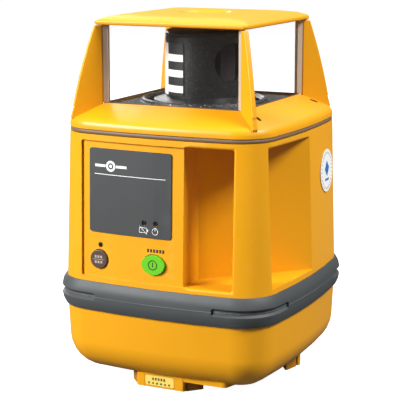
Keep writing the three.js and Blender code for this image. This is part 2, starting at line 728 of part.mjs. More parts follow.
function addWindows() {
  const outer = SILL_HALF - GAP;
  const low = SILL_Z - 1;
  const high = ROOF_Z - GAP;
  const half = outer - CORNER_SEAL - GAP;
  const names = ["front", "right", "back", "left"];
  const glazed = block(-outer + 0.1, outer - 0.1, -outer + 0.1, outer - 0.1, low, high + 1);
  names.forEach((name, i) => {
    const pane = block(-half, half, -outer, -outer + PANE_T, low, high);
    add("window_" + name, pane.rotate(0, 0, 90 * i), "glass");
    const strip = roundedShape([
      [outer - CORNER_SEAL, -outer],
      [outer, -outer, SILL_CORNER_R - GAP],
      [outer, -outer + CORNER_SEAL],
      [outer - CORNER_SEAL, -outer + CORNER_SEAL],
    ]);
    const tongue = block(outer, FIN_ROOT - GAP, GAP - FIN_T / 2, FIN_T / 2 - GAP, SILL_Z + GAP, high);
    const seal = join(prism(strip, low, high, 3), cut(tongue.rotate(0, 0, -45), glazed));
    add("corner_seal_" + (i + 1), seal.rotate(0, 0, 90 * i), "seal");
  });
}

function addDeck() {
  const top = SILL_Z - 1 - GAP;
  const half = SILL_HALF - GAP;
  const plate = prism(roundedRectangle(-half, half, -half, half, SILL_CORNER_R), top - DECK_T, top);
  const ring = turned([
    [DECK_HOLE_R, top - 1],
    [DECK_RING_R, top - 1],
    [DECK_RING_R - 0.8, top + 2],
    [DECK_RING_R - 2.2, top + 2.6],
    [DECK_HOLE_R + 1.8, top + 2.2],
    [DECK_HOLE_R, top],
  ]);
  const hole = post(DECK_HOLE_R, 0, FAR * 2, 0, 0, 48);
  add("deck_plate", join(cut(plate, hole), ring), "black");
}

function addRoof() {
  const lipTop = ROOF_Z + ROOF_LIP_H;
  const flat = 20 * FACE_CROWN_R;
  const dome = [
    [ROOF_Z, ROOF_HALF - 0.8, ROOF_CORNER_R],
    [ROOF_Z + 0.8, ROOF_HALF, ROOF_CORNER_R],
    [lipTop - 1, ROOF_HALF, ROOF_CORNER_R],
    [lipTop, ROOF_HALF - 1.2, ROOF_CORNER_R],
    [lipTop + 0.5 * ROOF_RISE, 50, 5],
    [lipTop + 0.82 * ROOF_RISE, 43, 8],
    [lipTop + 0.96 * ROOF_RISE, 33, 13],
    [ROOF_TOP, DIMPLE_R + 1.9, DIMPLE_R + 1.6],
  ];
  const outer = loft(dome.map(([z, half, r]) => planRing(z, half, r, flat)));
  const hollowHalf = ROOF_HALF - ROOF_RIM;
  const hollow = loft([
    planRing(ROOF_Z - 1, hollowHalf, ROOF_CORNER_R, flat),
    planRing(lipTop - 0.6, hollowHalf, ROOF_CORNER_R, flat),
    planRing(ROOF_TOP - DIMPLE_DEPTH - 1.8, 24, 20, flat),
  ]);
  const dimple = turned([
    [0, ROOF_TOP - DIMPLE_DEPTH],
    [DIMPLE_R - 1.2, ROOF_TOP - DIMPLE_DEPTH],
    [DIMPLE_R, ROOF_TOP + 0.5],
    [0, ROOF_TOP + 0.5],
  ]);
  add("roof_cover", cut(outer, hollow, dimple), "casing");
}

// ---------------------------------------------------------------- spinning head
/** Turns a solid made towards -Y to the beam's direction. */
const toBeam = (body) => body.rotate(0, 0, BEAM_AZIMUTH);

function addHead() {
  const foot = SKIRT_Z + 3.8;
  const drum = turned([
    [SHAFT_BORE_R, SKIRT_Z],
    [SKIRT_R, SKIRT_Z],
    [SKIRT_R, SKIRT_Z + 1.8],
    [DRUM_R + 1.6, foot],
    [DRUM_R, foot + 0.6],
    [DRUM_R, DRUM_TOP],
    [DRUM_R - DRUM_WALL, DRUM_TOP],
    [DRUM_R - DRUM_WALL, foot + 2.2],
    [SHAFT_BORE_R, foot + 2.2],
  ]);
  const aperture = toBeam(rodAlongY(APERTURE_R, -FAR, 0, 0, APERTURE_Z, 32));
  add("rotor_drum", cut(drum, aperture), "black");
  const cap = turned([
    [0, DRUM_TOP + GAP],
    [CAP_R, DRUM_TOP + GAP],
    [CAP_R, CAP_TOP - 2.6],
    [CAP_R - 0.9, CAP_TOP - 0.9],
    [CAP_R - 3, CAP_TOP],
    [0, CAP_TOP],
  ]);
  add("rotor_cap", cap, "black");
  const lensBack = DRUM_R - DRUM_WALL - 1.4;
  const lens = toBeam(rodAlongY(APERTURE_R - GAP, -lensBack - 2, -lensBack, 0, APERTURE_Z, 32));
  const clip = post(DRUM_R - DRUM_WALL - GAP, SKIRT_Z, DRUM_TOP, 0, 0, 48);
  add("exit_lens", lens.intersect(clip), "glass");
  const side = 9;
  const roofed = new THREE.Shape();
  roofed.moveTo(-side, -side);
  roofed.lineTo(side, -side);
  roofed.lineTo(side, side * 0.9);
  roofed.lineTo(side * 0.35, side * 1.35);
  roofed.lineTo(-side, side * 0.75);
  roofed.closePath();
  const prismBlock = new THREE.ExtrudeGeometry(roofed, { depth: 2 * side, bevelEnabled: false });
  prismBlock.translate(0, 0, -side);
  prismBlock.rotateX(Math.PI / 2);
  prismBlock.rotateZ(Math.PI / 2);
  prismBlock.translate(0, 0, APERTURE_Z - 1);
  add("pentaprism", toBeam(solid(prismBlock)), "glass");
  addScaleStrip();
  const low = PULLEY_Z - BELT_W / 2 - 1;
  const high = PULLEY_Z + BELT_W / 2 + 1;
  const shaft = turned([
    [SHAFT_BORE_R, PIVOT_Z - 6],
    [SHAFT_R, PIVOT_Z - 6],
    [SHAFT_R, low],
    [SHAFT_PULLEY_R + 1.4, low],
    [SHAFT_PULLEY_R, low + 1],
    [SHAFT_PULLEY_R, high - 1],
    [SHAFT_PULLEY_R + 1.4, high],
    [SHAFT_R + 1.5, high],
    [SHAFT_R + 1.5, SKIRT_Z - GAP],
    [SHAFT_BORE_R, SKIRT_Z - GAP],
  ]);
  add("rotor_shaft", shaft, "metal");
}

/** The strip wrapped on the drum, from a little left of -Y round to -X. */
function addScaleStrip() {
  const sleeve = turned([
    [DRUM_R + 0.15, SKIRT_Z + 5.6],
    [DRUM_R + 0.15 + STRIP_T, SKIRT_Z + 5.6],
    [DRUM_R + 0.15 + STRIP_T, STRIP_TOP],
    [DRUM_R + 0.15, STRIP_TOP],
  ]);
  const wedge = new THREE.Shape();
  wedge.moveTo(0, 0);
  for (const azimuth of [-7, -40, -74, -107]) {
    const a = THREE.MathUtils.degToRad(azimuth);
    wedge.lineTo(FAR * Math.sin(a), -FAR * Math.cos(a));
  }
  wedge.closePath();
  add("scale_strip", sleeve.intersect(prism(wedge, 150, FAR * 2)), "white");
}

// ---------------------------------------------------------------- levelling unit
function addLaserUnit() {
  const headLow = PIVOT_Z - 9;
  const headTop = PIVOT_Z + 5;
  const tube = turned([
    [10.3, BARREL_BOTTOM],
    [BARREL_R, BARREL_BOTTOM],
    [BARREL_R, headLow],
    [HEAD_R, headLow],
    [HEAD_R, headTop],
    [BEARING_R + GAP, headTop],
    [BEARING_R + GAP, PIVOT_Z - 5],
    [10.3, PIVOT_Z - 5],
  ]);
  const pinsY = [
    rodAlongY(PIN_R, HEAD_R - 1, GIMBAL_OUT - 1, 0, PIVOT_Z, 16),
    rodAlongY(PIN_R, -GIMBAL_OUT + 1, -HEAD_R + 1, 0, PIVOT_Z, 16),
  ];
  const armZ = PIVOT_Z - 16;
  const arm = block(PITCH_ROD_X - 4, -BARREL_R + 1, -3.5, 3.5, armZ, armZ + 4);
  const motorX = MOTOR_OFFSET * Math.SQRT1_2;
  const bracket = cut(
    block(8, motorX + 6, 8, motorX + 6, headLow, headLow + 3),
    post(BARREL_R - 1, 0, FAR * 2),
    post(3.4, 0, FAR * 2, motorX, motorX, 16),
  );
  add("laser_tube", join(tube, ...pinsY, arm, bracket), "metal");
  const bearing = turned([
    [SHAFT_R + 0.3, PIVOT_Z - 5 + GAP],
    [BEARING_R, PIVOT_Z - 5 + GAP],
    [BEARING_R, PIVOT_Z + 4.5],
    [SHAFT_R + 0.3, PIVOT_Z + 4.5],
  ]);
  add("shaft_bearing", bearing, "metal");
  add("collimator_lens", post(10, 138, 141, 0, 0, 24), "glass");
  const diode = join(
    post(9.9, 101, 110, 0, 0, 24),
    post(9, 99, 102, 0, 0, 24),
    post(12.4, 96.6, BARREL_BOTTOM - GAP, 0, 0, 24),
  );
  add("laser_diode", diode, "brass");
  const motor = join(
    post(6.8, PIVOT_Z - 26, headLow - GAP, motorX, motorX, 24),
    post(2.8, headLow - 1, headLow + 4, motorX, motorX, 16),
  );
  add("spin_motor", motor, "metal");
  const pulley = turned(
    [
      [0, headLow + 4.3],
      [2.4, headLow + 4.3],
      [2.4, PULLEY_Z - BELT_W / 2 - 1],
      [MOTOR_PULLEY_R + 1.2, PULLEY_Z - BELT_W / 2 - 1],
      [MOTOR_PULLEY_R, PULLEY_Z - BELT_W / 2],
      [MOTOR_PULLEY_R, PULLEY_Z + BELT_W / 2],
      [MOTOR_PULLEY_R + 1.2, PULLEY_Z + BELT_W / 2 + 1],
      [0, PULLEY_Z + BELT_W / 2 + 1],
    ],
    24,
  );
  add("motor_pulley", pulley.translate(motorX, motorX, 0), "brass");
  add("drive_belt", belt(), "black");
}

/** The outline of a belt run round both pulleys at a distance from them, along +X. */
function beltShape(offset) {
  const big = SHAFT_PULLEY_R + offset;
  const small = MOTOR_PULLEY_R + offset;
  const lean = Math.acos((big - small) / MOTOR_OFFSET);
  const shape = new THREE.Shape();
  shape.absarc(0, 0, big, lean, 2 * Math.PI - lean);
  shape.absarc(MOTOR_OFFSET, 0, small, -lean, lean);
  shape.closePath();
  return shape;
}

function belt() {
  const z0 = PULLEY_Z - BELT_W / 2 + GAP;
  const z1 = PULLEY_Z + BELT_W / 2 - GAP;
  const loop = cut(prism(beltShape(0.3 + BELT_T), z0, z1, 14), prism(beltShape(0.3), z0 - 1, z1 + 1, 14));
  return loop.rotate(0, 0, 45);
}

function addGimbalAndChassis() {
  const low = PIVOT_Z - GIMBAL_H / 2;
  const high = PIVOT_Z + GIMBAL_H / 2;
  const ring = cut(post(GIMBAL_OUT, low, high, 0, 0, 48), post(GIMBAL_IN, low - 1, high + 1, 0, 0, 48));
  const pinHoles = rodAlongY(PIN_R + RUN, -GIMBAL_OUT - 1, GIMBAL_OUT + 1, 0, PIVOT_Z, 16);
  const pin = rodAlongX(PIN_R, GIMBAL_IN + 1, YOKE_X + YOKE_T - 1, 0, PIVOT_Z, 16);
  const pins = [pin, pin.rotate(0, 0, 180)];
  const arm = block(-4, 4, GIMBAL_OUT + 1, ROLL_ROD_Y + 4, low, low + 4);
  const armRoot = block(-4, 4, GIMBAL_OUT - 1.2, GIMBAL_OUT + 2, low, low + 4);
  const holed = cut(ring, pinHoles);
  add("gimbal_ring", join(holed, ...pins, arm, cut(armRoot, pinHoles)), "metal");

  const plateZ = CHASSIS_Z;
  const plateTop = plateZ + CHASSIS_T;
  const half = 70;
  const plate = cut(
    prism(roundedRectangle(-half, half, -half, half, 18), plateZ, plateTop),
    post(20, plateZ - 1, plateTop + 1),
  );
  const uprights = [-1, 1].map((s) => {
    const shape = roundedShape([
      [-16, plateZ + 1],
      [16, plateZ + 1],
      [10, PIVOT_Z + 7, 4],
      [-10, PIVOT_Z + 7, 4],
    ]);
    const x0 = s > 0 ? YOKE_X : -YOKE_X - YOKE_T;
    return prismAlongX(shape, x0, x0 + YOKE_T, 4);
  });
  const bores = rodAlongX(PIN_R + RUN, -FAR, FAR, 0, PIVOT_Z, 16);
  add("chassis", cut(join(plate, ...uprights), bores), "metal");

  const motorTop = 92;
  const actuators = {
    roll: [0, ROLL_ROD_Y, PIVOT_Z - GIMBAL_H / 2],
    pitch: [PITCH_ROD_X, 0, PIVOT_Z - 16],
  };
  for (const [name, [x, y, armZ]] of Object.entries(actuators)) {
    const can = post(8, plateTop + GAP, motorTop, x, y, 24);
    add("levelling_motor_" + name, cut(can, post(ROD_R + RUN, 72, motorTop + 1, x, y, 12)), "metal");
    add("levelling_rod_" + name, post(ROD_R, 78, armZ - ROD_GAP, x, y, 12), "brass");
  }
}

addLowerHousing();
addBase();
addBatteryDrawer();
addMainBody();
addControls();
addBumper();
addGasket();
addUpperHousing();
addWindows();
addDeck();
addRoof();
addHead();
addLaserUnit();
addGimbalAndChassis();

export default laserLevel;
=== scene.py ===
# %% [markdown]
# # A rotating laser level
# The working parts come from the imported model: it fixes every size, every joint and every place.
# This lesson gives them their looks: soft moulded edges, grained plastic, rubber, glass and print,
# and the small pieces that only matter to the eye, such as icons, screws and painted shade in the drain
# slots.

# %% Load the frame
import json
import math

import bmesh
import bpy
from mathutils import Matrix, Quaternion, Vector

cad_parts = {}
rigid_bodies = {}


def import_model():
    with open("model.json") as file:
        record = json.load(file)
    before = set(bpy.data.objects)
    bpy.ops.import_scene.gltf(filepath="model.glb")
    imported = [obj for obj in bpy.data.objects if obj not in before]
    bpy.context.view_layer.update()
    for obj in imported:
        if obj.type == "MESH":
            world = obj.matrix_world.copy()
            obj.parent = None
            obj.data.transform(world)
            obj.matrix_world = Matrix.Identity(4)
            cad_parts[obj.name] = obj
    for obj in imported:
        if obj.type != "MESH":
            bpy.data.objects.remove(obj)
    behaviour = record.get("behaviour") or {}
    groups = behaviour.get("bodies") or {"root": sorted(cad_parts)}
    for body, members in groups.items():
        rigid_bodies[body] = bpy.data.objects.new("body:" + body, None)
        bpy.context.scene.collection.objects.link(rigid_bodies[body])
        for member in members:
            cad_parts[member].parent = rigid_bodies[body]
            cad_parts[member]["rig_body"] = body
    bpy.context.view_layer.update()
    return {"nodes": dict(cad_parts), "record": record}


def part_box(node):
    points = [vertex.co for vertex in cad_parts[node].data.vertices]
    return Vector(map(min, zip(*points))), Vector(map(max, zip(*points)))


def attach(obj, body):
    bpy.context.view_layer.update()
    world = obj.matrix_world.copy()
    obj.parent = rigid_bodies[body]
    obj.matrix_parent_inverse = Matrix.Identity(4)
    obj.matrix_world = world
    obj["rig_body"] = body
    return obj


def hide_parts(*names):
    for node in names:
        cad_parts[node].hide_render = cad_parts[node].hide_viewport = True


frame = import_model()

MM = 0.001

# %% [markdown]
# ## Camera
# A long lens from the right of the control panel, a little above the windows, so that the front, the
# grip column and the right side all show. The lens has no shift, so the upright edges converge a little.

# %% Camera
CAMERA_AT = Vector((400.4, -848.6, 307.05)) * MM
CAMERA_AIM = Vector((-3.4, 0.0, 116.85)) * MM
LENS = 124.07  # focal length in millimetres, on a sensor 36 mm wide

bpy.ops.object.select_all(action="DESELECT")
bpy.ops.object.camera_add(location=CAMERA_AT)
camera = bpy.context.object
camera.rotation_euler = (CAMERA_AIM - CAMERA_AT).to_track_quat("-Z", "Y").to_euler()
camera.data.lens = LENS
camera.data.sensor_width = 36
camera.data.dof.use_dof = False
bpy.context.scene.camera = camera
print("camera distance:", round((CAMERA_AIM - CAMERA_AT).length, 4))

# %% [markdown]
# ## Shared shader groups
# Real plastic is never one flat colour. Three small groups are built once and used in many materials:
# a fine moulded grain, worn edges with a slow change of tone, and flecks. A group only puts out values
# and colours; each material keeps its own Principled BSDF. Three helpers keep the node code short.

# %% Helpers for node trees
def group_of(name, inputs, outputs):
    """An empty shader node group with named sockets, and its input and output nodes."""
    group = bpy.data.node_groups.new(name, "ShaderNodeTree")
    for title, kind, value in inputs:
        socket = group.interface.new_socket(name=title, in_out="INPUT", socket_type=kind)
        socket.default_value = value
    for title, kind in outputs:
        group.interface.new_socket(name=title, in_out="OUTPUT", socket_type=kind)
    return group, group.nodes.new("NodeGroupInput"), group.nodes.new("NodeGroupOutput")


def node(tree, kind, **settings):
    """Adds a node. Keys that name a socket set its value, the others set a property."""
    made = tree.nodes.new(kind)
    for key, value in settings.items():
        if key in made.inputs:
            made.inputs[key].default_value = value
        else:
            setattr(made, key, value)
    return made


def maths(tree, operation, first, second=None, clamp=False):
    """A Math node whose inputs are sockets or numbers; gives its output socket."""
    made = node(tree, "ShaderNodeMath", operation=operation, use_clamp=clamp)
    for slot, value in enumerate((first, second)):
        if value is None:
            continue
        if isinstance(value, (int, float)):
            made.inputs[slot].default_value = value
        else:
            tree.links.new(value, made.inputs[slot])
    return made.outputs[0]


FLOAT, COLOR = "NodeSocketFloat", "NodeSocketColor"
print("helpers:", group_of.__name__, node.__name__, maths.__name__)

# %% [markdown]
# ### Grain
# A mould is spark-eroded, so its plastic has a fine even grain and is nowhere equally glossy. One noise
# gives the height of the grain and a broader one lets the roughness drift. Both read Object
# coordinates, so the grain keeps its real size on a small key and on a large casing.

# %% Grain group
grain_group, grain_in, grain_out = group_of(
    "moulded grain",
    [("Scale", FLOAT, 1400.0), ("Roughness", FLOAT, 0.45), ("Spread", FLOAT, 0.08)],
    [("Height", FLOAT), ("Roughness", FLOAT)],
)
coordinates = node(grain_group, "ShaderNodeTexCoord")
fine = node(grain_group, "ShaderNodeTexNoise", Detail=2.0)
broad = node(grain_group, "ShaderNodeTexNoise", Scale=60.0, Detail=3.0)
grain_group.links.new(coordinates.outputs["Object"], fine.inputs["Vector"])
grain_group.links.new(coordinates.outputs["Object"], broad.inputs["Vector"])
grain_group.links.new(grain_in.outputs["Scale"], fine.inputs["Scale"])
centred = maths(grain_group, "SUBTRACT", broad.outputs["Fac"], 0.5)
swing = maths(grain_group, "MULTIPLY", centred, grain_in.outputs["Spread"])
level = maths(grain_group, "ADD", swing, grain_in.outputs["Roughness"])
grain_group.links.new(fine.outputs["Fac"], grain_out.inputs["Height"])
grain_group.links.new(level, grain_out.inputs["Roughness"])
print("group:", grain_group.name)

# %% [markdown]
# ### Worn edges
# Handling rubs the colour off outer edges first, and in patches. Pointiness finds those edges, a noise
# breaks them up, and a very slow noise makes the colour a little lighter here and darker there. It could
# be painted by hand, but a mask from the shape also works when the shape changes.

# %% Wear group
wear_group, wear_in, wear_out = group_of(
    "edge wear",
    [
        ("Colour", COLOR, (0.8, 0.8, 0.8, 1)),
        ("Worn", COLOR, (1, 1, 1, 1)),
        ("Amount", FLOAT, 0.5),
        ("Tone", FLOAT, 0.06),
    ],
    [("Colour", COLOR), ("Mask", FLOAT)],
)
geometry = node(wear_group, "ShaderNodeNewGeometry")
coordinates = node(wear_group, "ShaderNodeTexCoord")
patches = node(wear_group, "ShaderNodeTexNoise", Scale=90.0, Detail=4.0, Roughness=0.6)
slow = node(wear_group, "ShaderNodeTexNoise", Scale=14.0, Detail=2.0)
for noise in (patches, slow):
    wear_group.links.new(coordinates.outputs["Object"], noise.inputs["Vector"])
EDGE_FROM, EDGE_TO = 0.53, 0.64  # pointiness of a slight edge and of a full one
edge = node(wear_group, "ShaderNodeMapRange")
edge.inputs["From Min"].default_value = EDGE_FROM
edge.inputs["From Max"].default_value = EDGE_TO
wear_group.links.new(geometry.outputs["Pointiness"], edge.inputs["Value"])
PATCH_FROM, PATCH_TO = 0.42, 0.66
broken = node(wear_group, "ShaderNodeMapRange")
broken.inputs["From Min"].default_value = PATCH_FROM
broken.inputs["From Max"].default_value = PATCH_TO
wear_group.links.new(patches.outputs["Fac"], broken.inputs["Value"])
mask = maths(wear_group, "MULTIPLY", edge.outputs[0], broken.outputs[0])
mask = maths(wear_group, "MULTIPLY", mask, wear_in.outputs["Amount"], clamp=True)
tone = maths(wear_group, "SUBTRACT", slow.outputs["Fac"], 0.5)
tone = maths(wear_group, "MULTIPLY", tone, wear_in.outputs["Tone"])
tone = maths(wear_group, "ADD", tone, 1.0)
shaded = node(wear_group, "ShaderNodeVectorMath", operation="SCALE")
wear_group.links.new(wear_in.outputs["Colour"], shaded.inputs[0])
wear_group.links.new(tone, shaded.inputs["Scale"])
mixed = node(wear_group, "ShaderNodeMix", data_type="RGBA")
wear_group.links.new(mask, mixed.inputs["Factor"])
wear_group.links.new(shaded.outputs[0], mixed.inputs[6])
wear_group.links.new(wear_in.outputs["Worn"], mixed.inputs[7])
wear_group.links.new(mixed.outputs[2], wear_out.inputs["Colour"])
wear_group.links.new(mask, wear_out.inputs["Mask"])
print("group:", wear_group.name)

# %% [markdown]
# ### Flecks
# The deck is sprayed with a speckled paint and the drum has fine dust in its texture. A noise whose
# high values alone are kept gives small separate flecks.

# %% Flecks group
fleck_group, fleck_in, fleck_out = group_of(
    "flecks",
    [
        ("Colour", COLOR, (0.1, 0.1, 0.1, 1)),
        ("Fleck", COLOR, (0.5, 0.5, 0.5, 1)),
        ("Scale", FLOAT, 900.0),
        ("From", FLOAT, 0.6),
    ],
    [("Colour", COLOR)],
)
coordinates = node(fleck_group, "ShaderNodeTexCoord")
grains = node(fleck_group, "ShaderNodeTexNoise", Detail=1.0)
fleck_group.links.new(coordinates.outputs["Object"], grains.inputs["Vector"])
fleck_group.links.new(fleck_in.outputs["Scale"], grains.inputs["Scale"])
FLECK_SHARPNESS = 9.0
above = maths(fleck_group, "SUBTRACT", grains.outputs["Fac"], fleck_in.outputs["From"])
shown = maths(fleck_group, "MULTIPLY", above, FLECK_SHARPNESS, clamp=True)
mixed = node(fleck_group, "ShaderNodeMix", data_type="RGBA")
fleck_group.links.new(shown, mixed.inputs["Factor"])
fleck_group.links.new(fleck_in.outputs["Colour"], mixed.inputs[6])
fleck_group.links.new(fleck_in.outputs["Fleck"], mixed.inputs[7])
fleck_group.links.new(mixed.outputs[2], fleck_out.inputs["Colour"])
print("group:", fleck_group.name)

# %% [markdown]
# ## Finishes
# One function makes an ordinary opaque finish from two groups: colour with worn edges, grain in the
# roughness and a little bump. A second one adds flecks to a finish. Clear parts get their own after it.

# %% An opaque finish
def finish(name, colour, worn, roughness, wear=0.4, tone=0.06, grain=1400.0, bump=0.1, **sockets):
    """A grained, edge-worn material. Extra keys set sockets of the Principled BSDF by name."""
    material = bpy.data.materials.new(name)
    material.use_nodes = True
    tree = material.node_tree
    surface = tree.nodes["Principled BSDF"]
    for key, value in sockets.items():
        surface.inputs[key.replace("_", " ")].default_value = value
    worn_edge = node(tree, "ShaderNodeGroup", node_tree=wear_group)
    worn_edge.inputs["Colour"].default_value = (*colour, 1)
    worn_edge.inputs["Worn"].default_value = (*worn, 1)
    worn_edge.inputs["Amount"].default_value = wear
    worn_edge.inputs["Tone"].default_value = tone
    grained = node(tree, "ShaderNodeGroup", node_tree=grain_group)
    grained.inputs["Scale"].default_value = grain
    grained.inputs["Roughness"].default_value = roughness
    raised = node(tree, "ShaderNodeBump", Strength=bump, Distance=0.0002)
    tree.links.new(worn_edge.outputs["Colour"], surface.inputs["Base Color"])
    tree.links.new(grained.outputs["Roughness"], surface.inputs["Roughness"])
    tree.links.new(grained.outputs["Height"], raised.inputs["Height"])
    tree.links.new(raised.outputs["Normal"], surface.inputs["Normal"])
    return material


def flecked(material, fleck, scale, start):
    """Sprinkles small flecks over a finish's colour."""
    tree = material.node_tree
    surface = tree.nodes["Principled BSDF"]
    sprinkled = node(tree, "ShaderNodeGroup", node_tree=fleck_group)
    sprinkled.inputs["Fleck"].default_value = (*fleck, 1)
    sprinkled.inputs["Scale"].default_value = scale
    sprinkled.inputs["From"].default_value = start
    tree.links.new(surface.inputs["Base Color"].links[0].from_socket, sprinkled.inputs["Colour"])
    tree.links.new(sprinkled.outputs["Colour"], surface.inputs["Base Color"])
    return material


print("finish makers:", finish.__name__, flecked.__name__)

# %% [markdown]
# ### Casing plastic and rubber
# The housings are through-coloured yellow plastic with a soft gloss. The pads behind the feet are the
# same colour family but duller and darker. The bumper is grey rubber with uneven bloom, the gasket brown.

# %% Casing and rubber finishes
casing_yellow = finish(
    "casing yellow",
    (0.72, 0.315, 0.003),
    (0.85, 0.47, 0.08),
    0.38,
    wear=0.35,
    Specular_IOR_Level=0.4,
)
bumper_grey = finish(
    "bumper grey",
    (0.048, 0.054, 0.056),
    (0.16, 0.17, 0.175),
    0.58,
    wear=0.4,
    tone=0.3,
    grain=900.0,
    bump=0.2,
)
gasket_brown = finish("gasket brown", (0.16, 0.095, 0.055), (0.24, 0.16, 0.1), 0.6, wear=0.3)
foot_orange = finish("foot orange", (0.46, 0.185, 0.004), (0.6, 0.32, 0.06), 0.6, wear=0.3, bump=0.2)
foot_rubber = finish("foot rubber", (0.02, 0.018, 0.017), (0.06, 0.06, 0.06), 0.7, wear=0.4, bump=0.3)
seal_beige = finish("seal beige", (0.45, 0.36, 0.27), (0.6, 0.52, 0.42), 0.45, wear=0.2, tone=0.3)
print("casing and rubber finishes:", len(bpy.data.materials))

# %% [markdown]
# ### Black parts of the head
# Drum and deck are black, but not alike: the drum is a fine satin, the deck a coarse speckled coat with
# a stronger bump. Their tone drifts widely, as dust and rubbing make it do on dark parts.

# %% Head finishes
rotor_black = finish(
    "rotor black",
    (0.006, 0.0063, 0.007),
    (0.06, 0.065, 0.07),
    0.36,
    wear=0.5,
    tone=0.8,
    grain=700.0,
    bump=0.5,
)
deck_black = finish(
    "deck black",
    (0.014, 0.015, 0.016),
    (0.09, 0.095, 0.1),
    0.46,
    wear=0.4,
    tone=0.9,
    grain=900.0,
    bump=0.8,
    Specular_IOR_Level=0.3,
)
flecked(deck_black, (0.4, 0.4, 0.39), 900.0, 0.62)
flecked(rotor_black, (0.06, 0.062, 0.065), 1500.0, 0.6)
print("head finishes:", rotor_black.name, "and", deck_black.name)

# %% [markdown]
# ### Panel parts and inks
# The film is a printed polyester sheet with a slight sheen, the keys are smooth plastic, and the name
# plate is gold-coloured foil. Inks are matt and don't wear at their edges, because they have none.

# %% Panel finishes and inks
label_grey = finish(
    "label grey", (0.043, 0.046, 0.047), (0.14, 0.14, 0.14), 0.42, wear=0.2, grain=1100.0, bump=0.06
)
key_brown = finish("key brown", (0.085, 0.05, 0.038), (0.2, 0.15, 0.12), 0.36, wear=0.4, bump=0.05)
key_green = finish("key green", (0.12, 0.5, 0.012), (0.3, 0.7, 0.12), 0.34, wear=0.25, bump=0.05)
plate_gold = finish(
    "plate gold", (0.82, 0.6, 0.12), (0.9, 0.8, 0.4), 0.34, wear=0.4, grain=300.0, bump=0.15
)
film_white = finish("film white", (0.82, 0.82, 0.8), (0.9, 0.9, 0.88), 0.35, wear=0.1, bump=0.03)
ink_white = finish("ink white", (0.8, 0.8, 0.78), (0.9, 0.9, 0.9), 0.5, wear=0.0)
ink_black = finish("ink black", (0.012, 0.011, 0.01), (0.05, 0.05, 0.05), 0.5, wear=0.0)
ink_blue = finish("ink blue", (0.01, 0.13, 0.42), (0.1, 0.3, 0.6), 0.4, wear=0.0)
lamp_lens = finish("lamp lens", (0.012, 0.006, 0.004), (0.05, 0.04, 0.04), 0.12, wear=0.0, bump=0.0)
print("panel finishes:", label_grey.name, "to", lamp_lens.name)

# %% [markdown]
# ### Parts inside
# Turned metal, a circuit board and battery sleeves. They show only through the windows or with the
# drawer open, so plain grained finishes are enough.

# %% Inner finishes
aluminium = finish(
    "machined aluminium", (0.62, 0.63, 0.65), (0.8, 0.8, 0.82), 0.34, wear=0.4, grain=400.0, Metallic=1.0
)
brass = finish(
    "turned brass", (0.62, 0.46, 0.2), (0.8, 0.68, 0.4), 0.3, wear=0.4, grain=400.0, Metallic=1.0
)
board_green = finish("board green", (0.02, 0.12, 0.05), (0.1, 0.25, 0.12), 0.4, wear=0.2)
cell_sleeve = finish("cell sleeve", (0.1, 0.11, 0.13), (0.3, 0.3, 0.3), 0.3, wear=0.05, Metallic=0.4)
tray_black = finish("tray black", (0.03, 0.031, 0.034), (0.1, 0.1, 0.1), 0.5, wear=0.3)
print("opaque finishes:", len(bpy.data.materials))

# %% [markdown]
# ### Clear parts
# The panes are thin and seen straight through, so a small alpha with a plain gloss is closer to them than
# real refraction, which would also show the panes' inner sides. The exit lens is coated and much darker.
# A noise in the roughness stands for the faint smears that glass always has.

# %% Clear finishes
SMEAR = 0.08  # how much rougher the smeared places are


def clear_finish(name, tint, roughness, alpha):
    """Thin clear glass or plastic: mostly seen through, with a plain gloss on top."""
    material = bpy.data.materials.new(name)
    material.use_nodes = True
    tree = material.node_tree
    surface = tree.nodes["Principled BSDF"]
    surface.inputs["Base Color"].default_value = (*tint, 1)
    surface.inputs["IOR"].default_value = 1.5
    surface.inputs["Metallic"].default_value = 0.0
    surface.inputs["Alpha"].default_value = alpha
    coordinates = node(tree, "ShaderNodeTexCoord")
    smears = node(tree, "ShaderNodeTexNoise", Scale=35.0, Detail=5.0)
    tree.links.new(coordinates.outputs["Object"], smears.inputs["Vector"])
    spread = node(tree, "ShaderNodeMapRange")
    spread.inputs["To Min"].default_value = roughness
    spread.inputs["To Max"].default_value = roughness + SMEAR
    tree.links.new(smears.outputs["Fac"], spread.inputs["Value"])
    tree.links.new(spread.outputs[0], surface.inputs["Roughness"])
    return material


window_glass = clear_finish("window glass", (0.2, 0.21, 0.2), 0.02, 0.018)
lens_glass = clear_finish("coated lens", (0.05, 0.04, 0.045), 0.04, 0.55)
print("all finishes:", len(bpy.data.materials))

# %% [markdown]
# ## The printed scale
# A strip is wrapped on the drum: plain white on its trailing side, with four black blocks on the leading
# side. The blocks are print, so they are a pattern in the material: an angle round the spin axis and a
# height choose ink or paper. The angle comes from the Object coordinates with an arctangent.

# %% Scale strip material
BLOCK_EDGE_DEG = -39.5  # azimuth where the black blocks end, from the control panel's side
BLOCK_BOTTOM = 188.6 * MM
BLOCK_PITCH = 10.42 * MM
BLOCK_HEIGHT = 5.75 * MM
TOP_BLOCK_FROM = 219.9 * MM

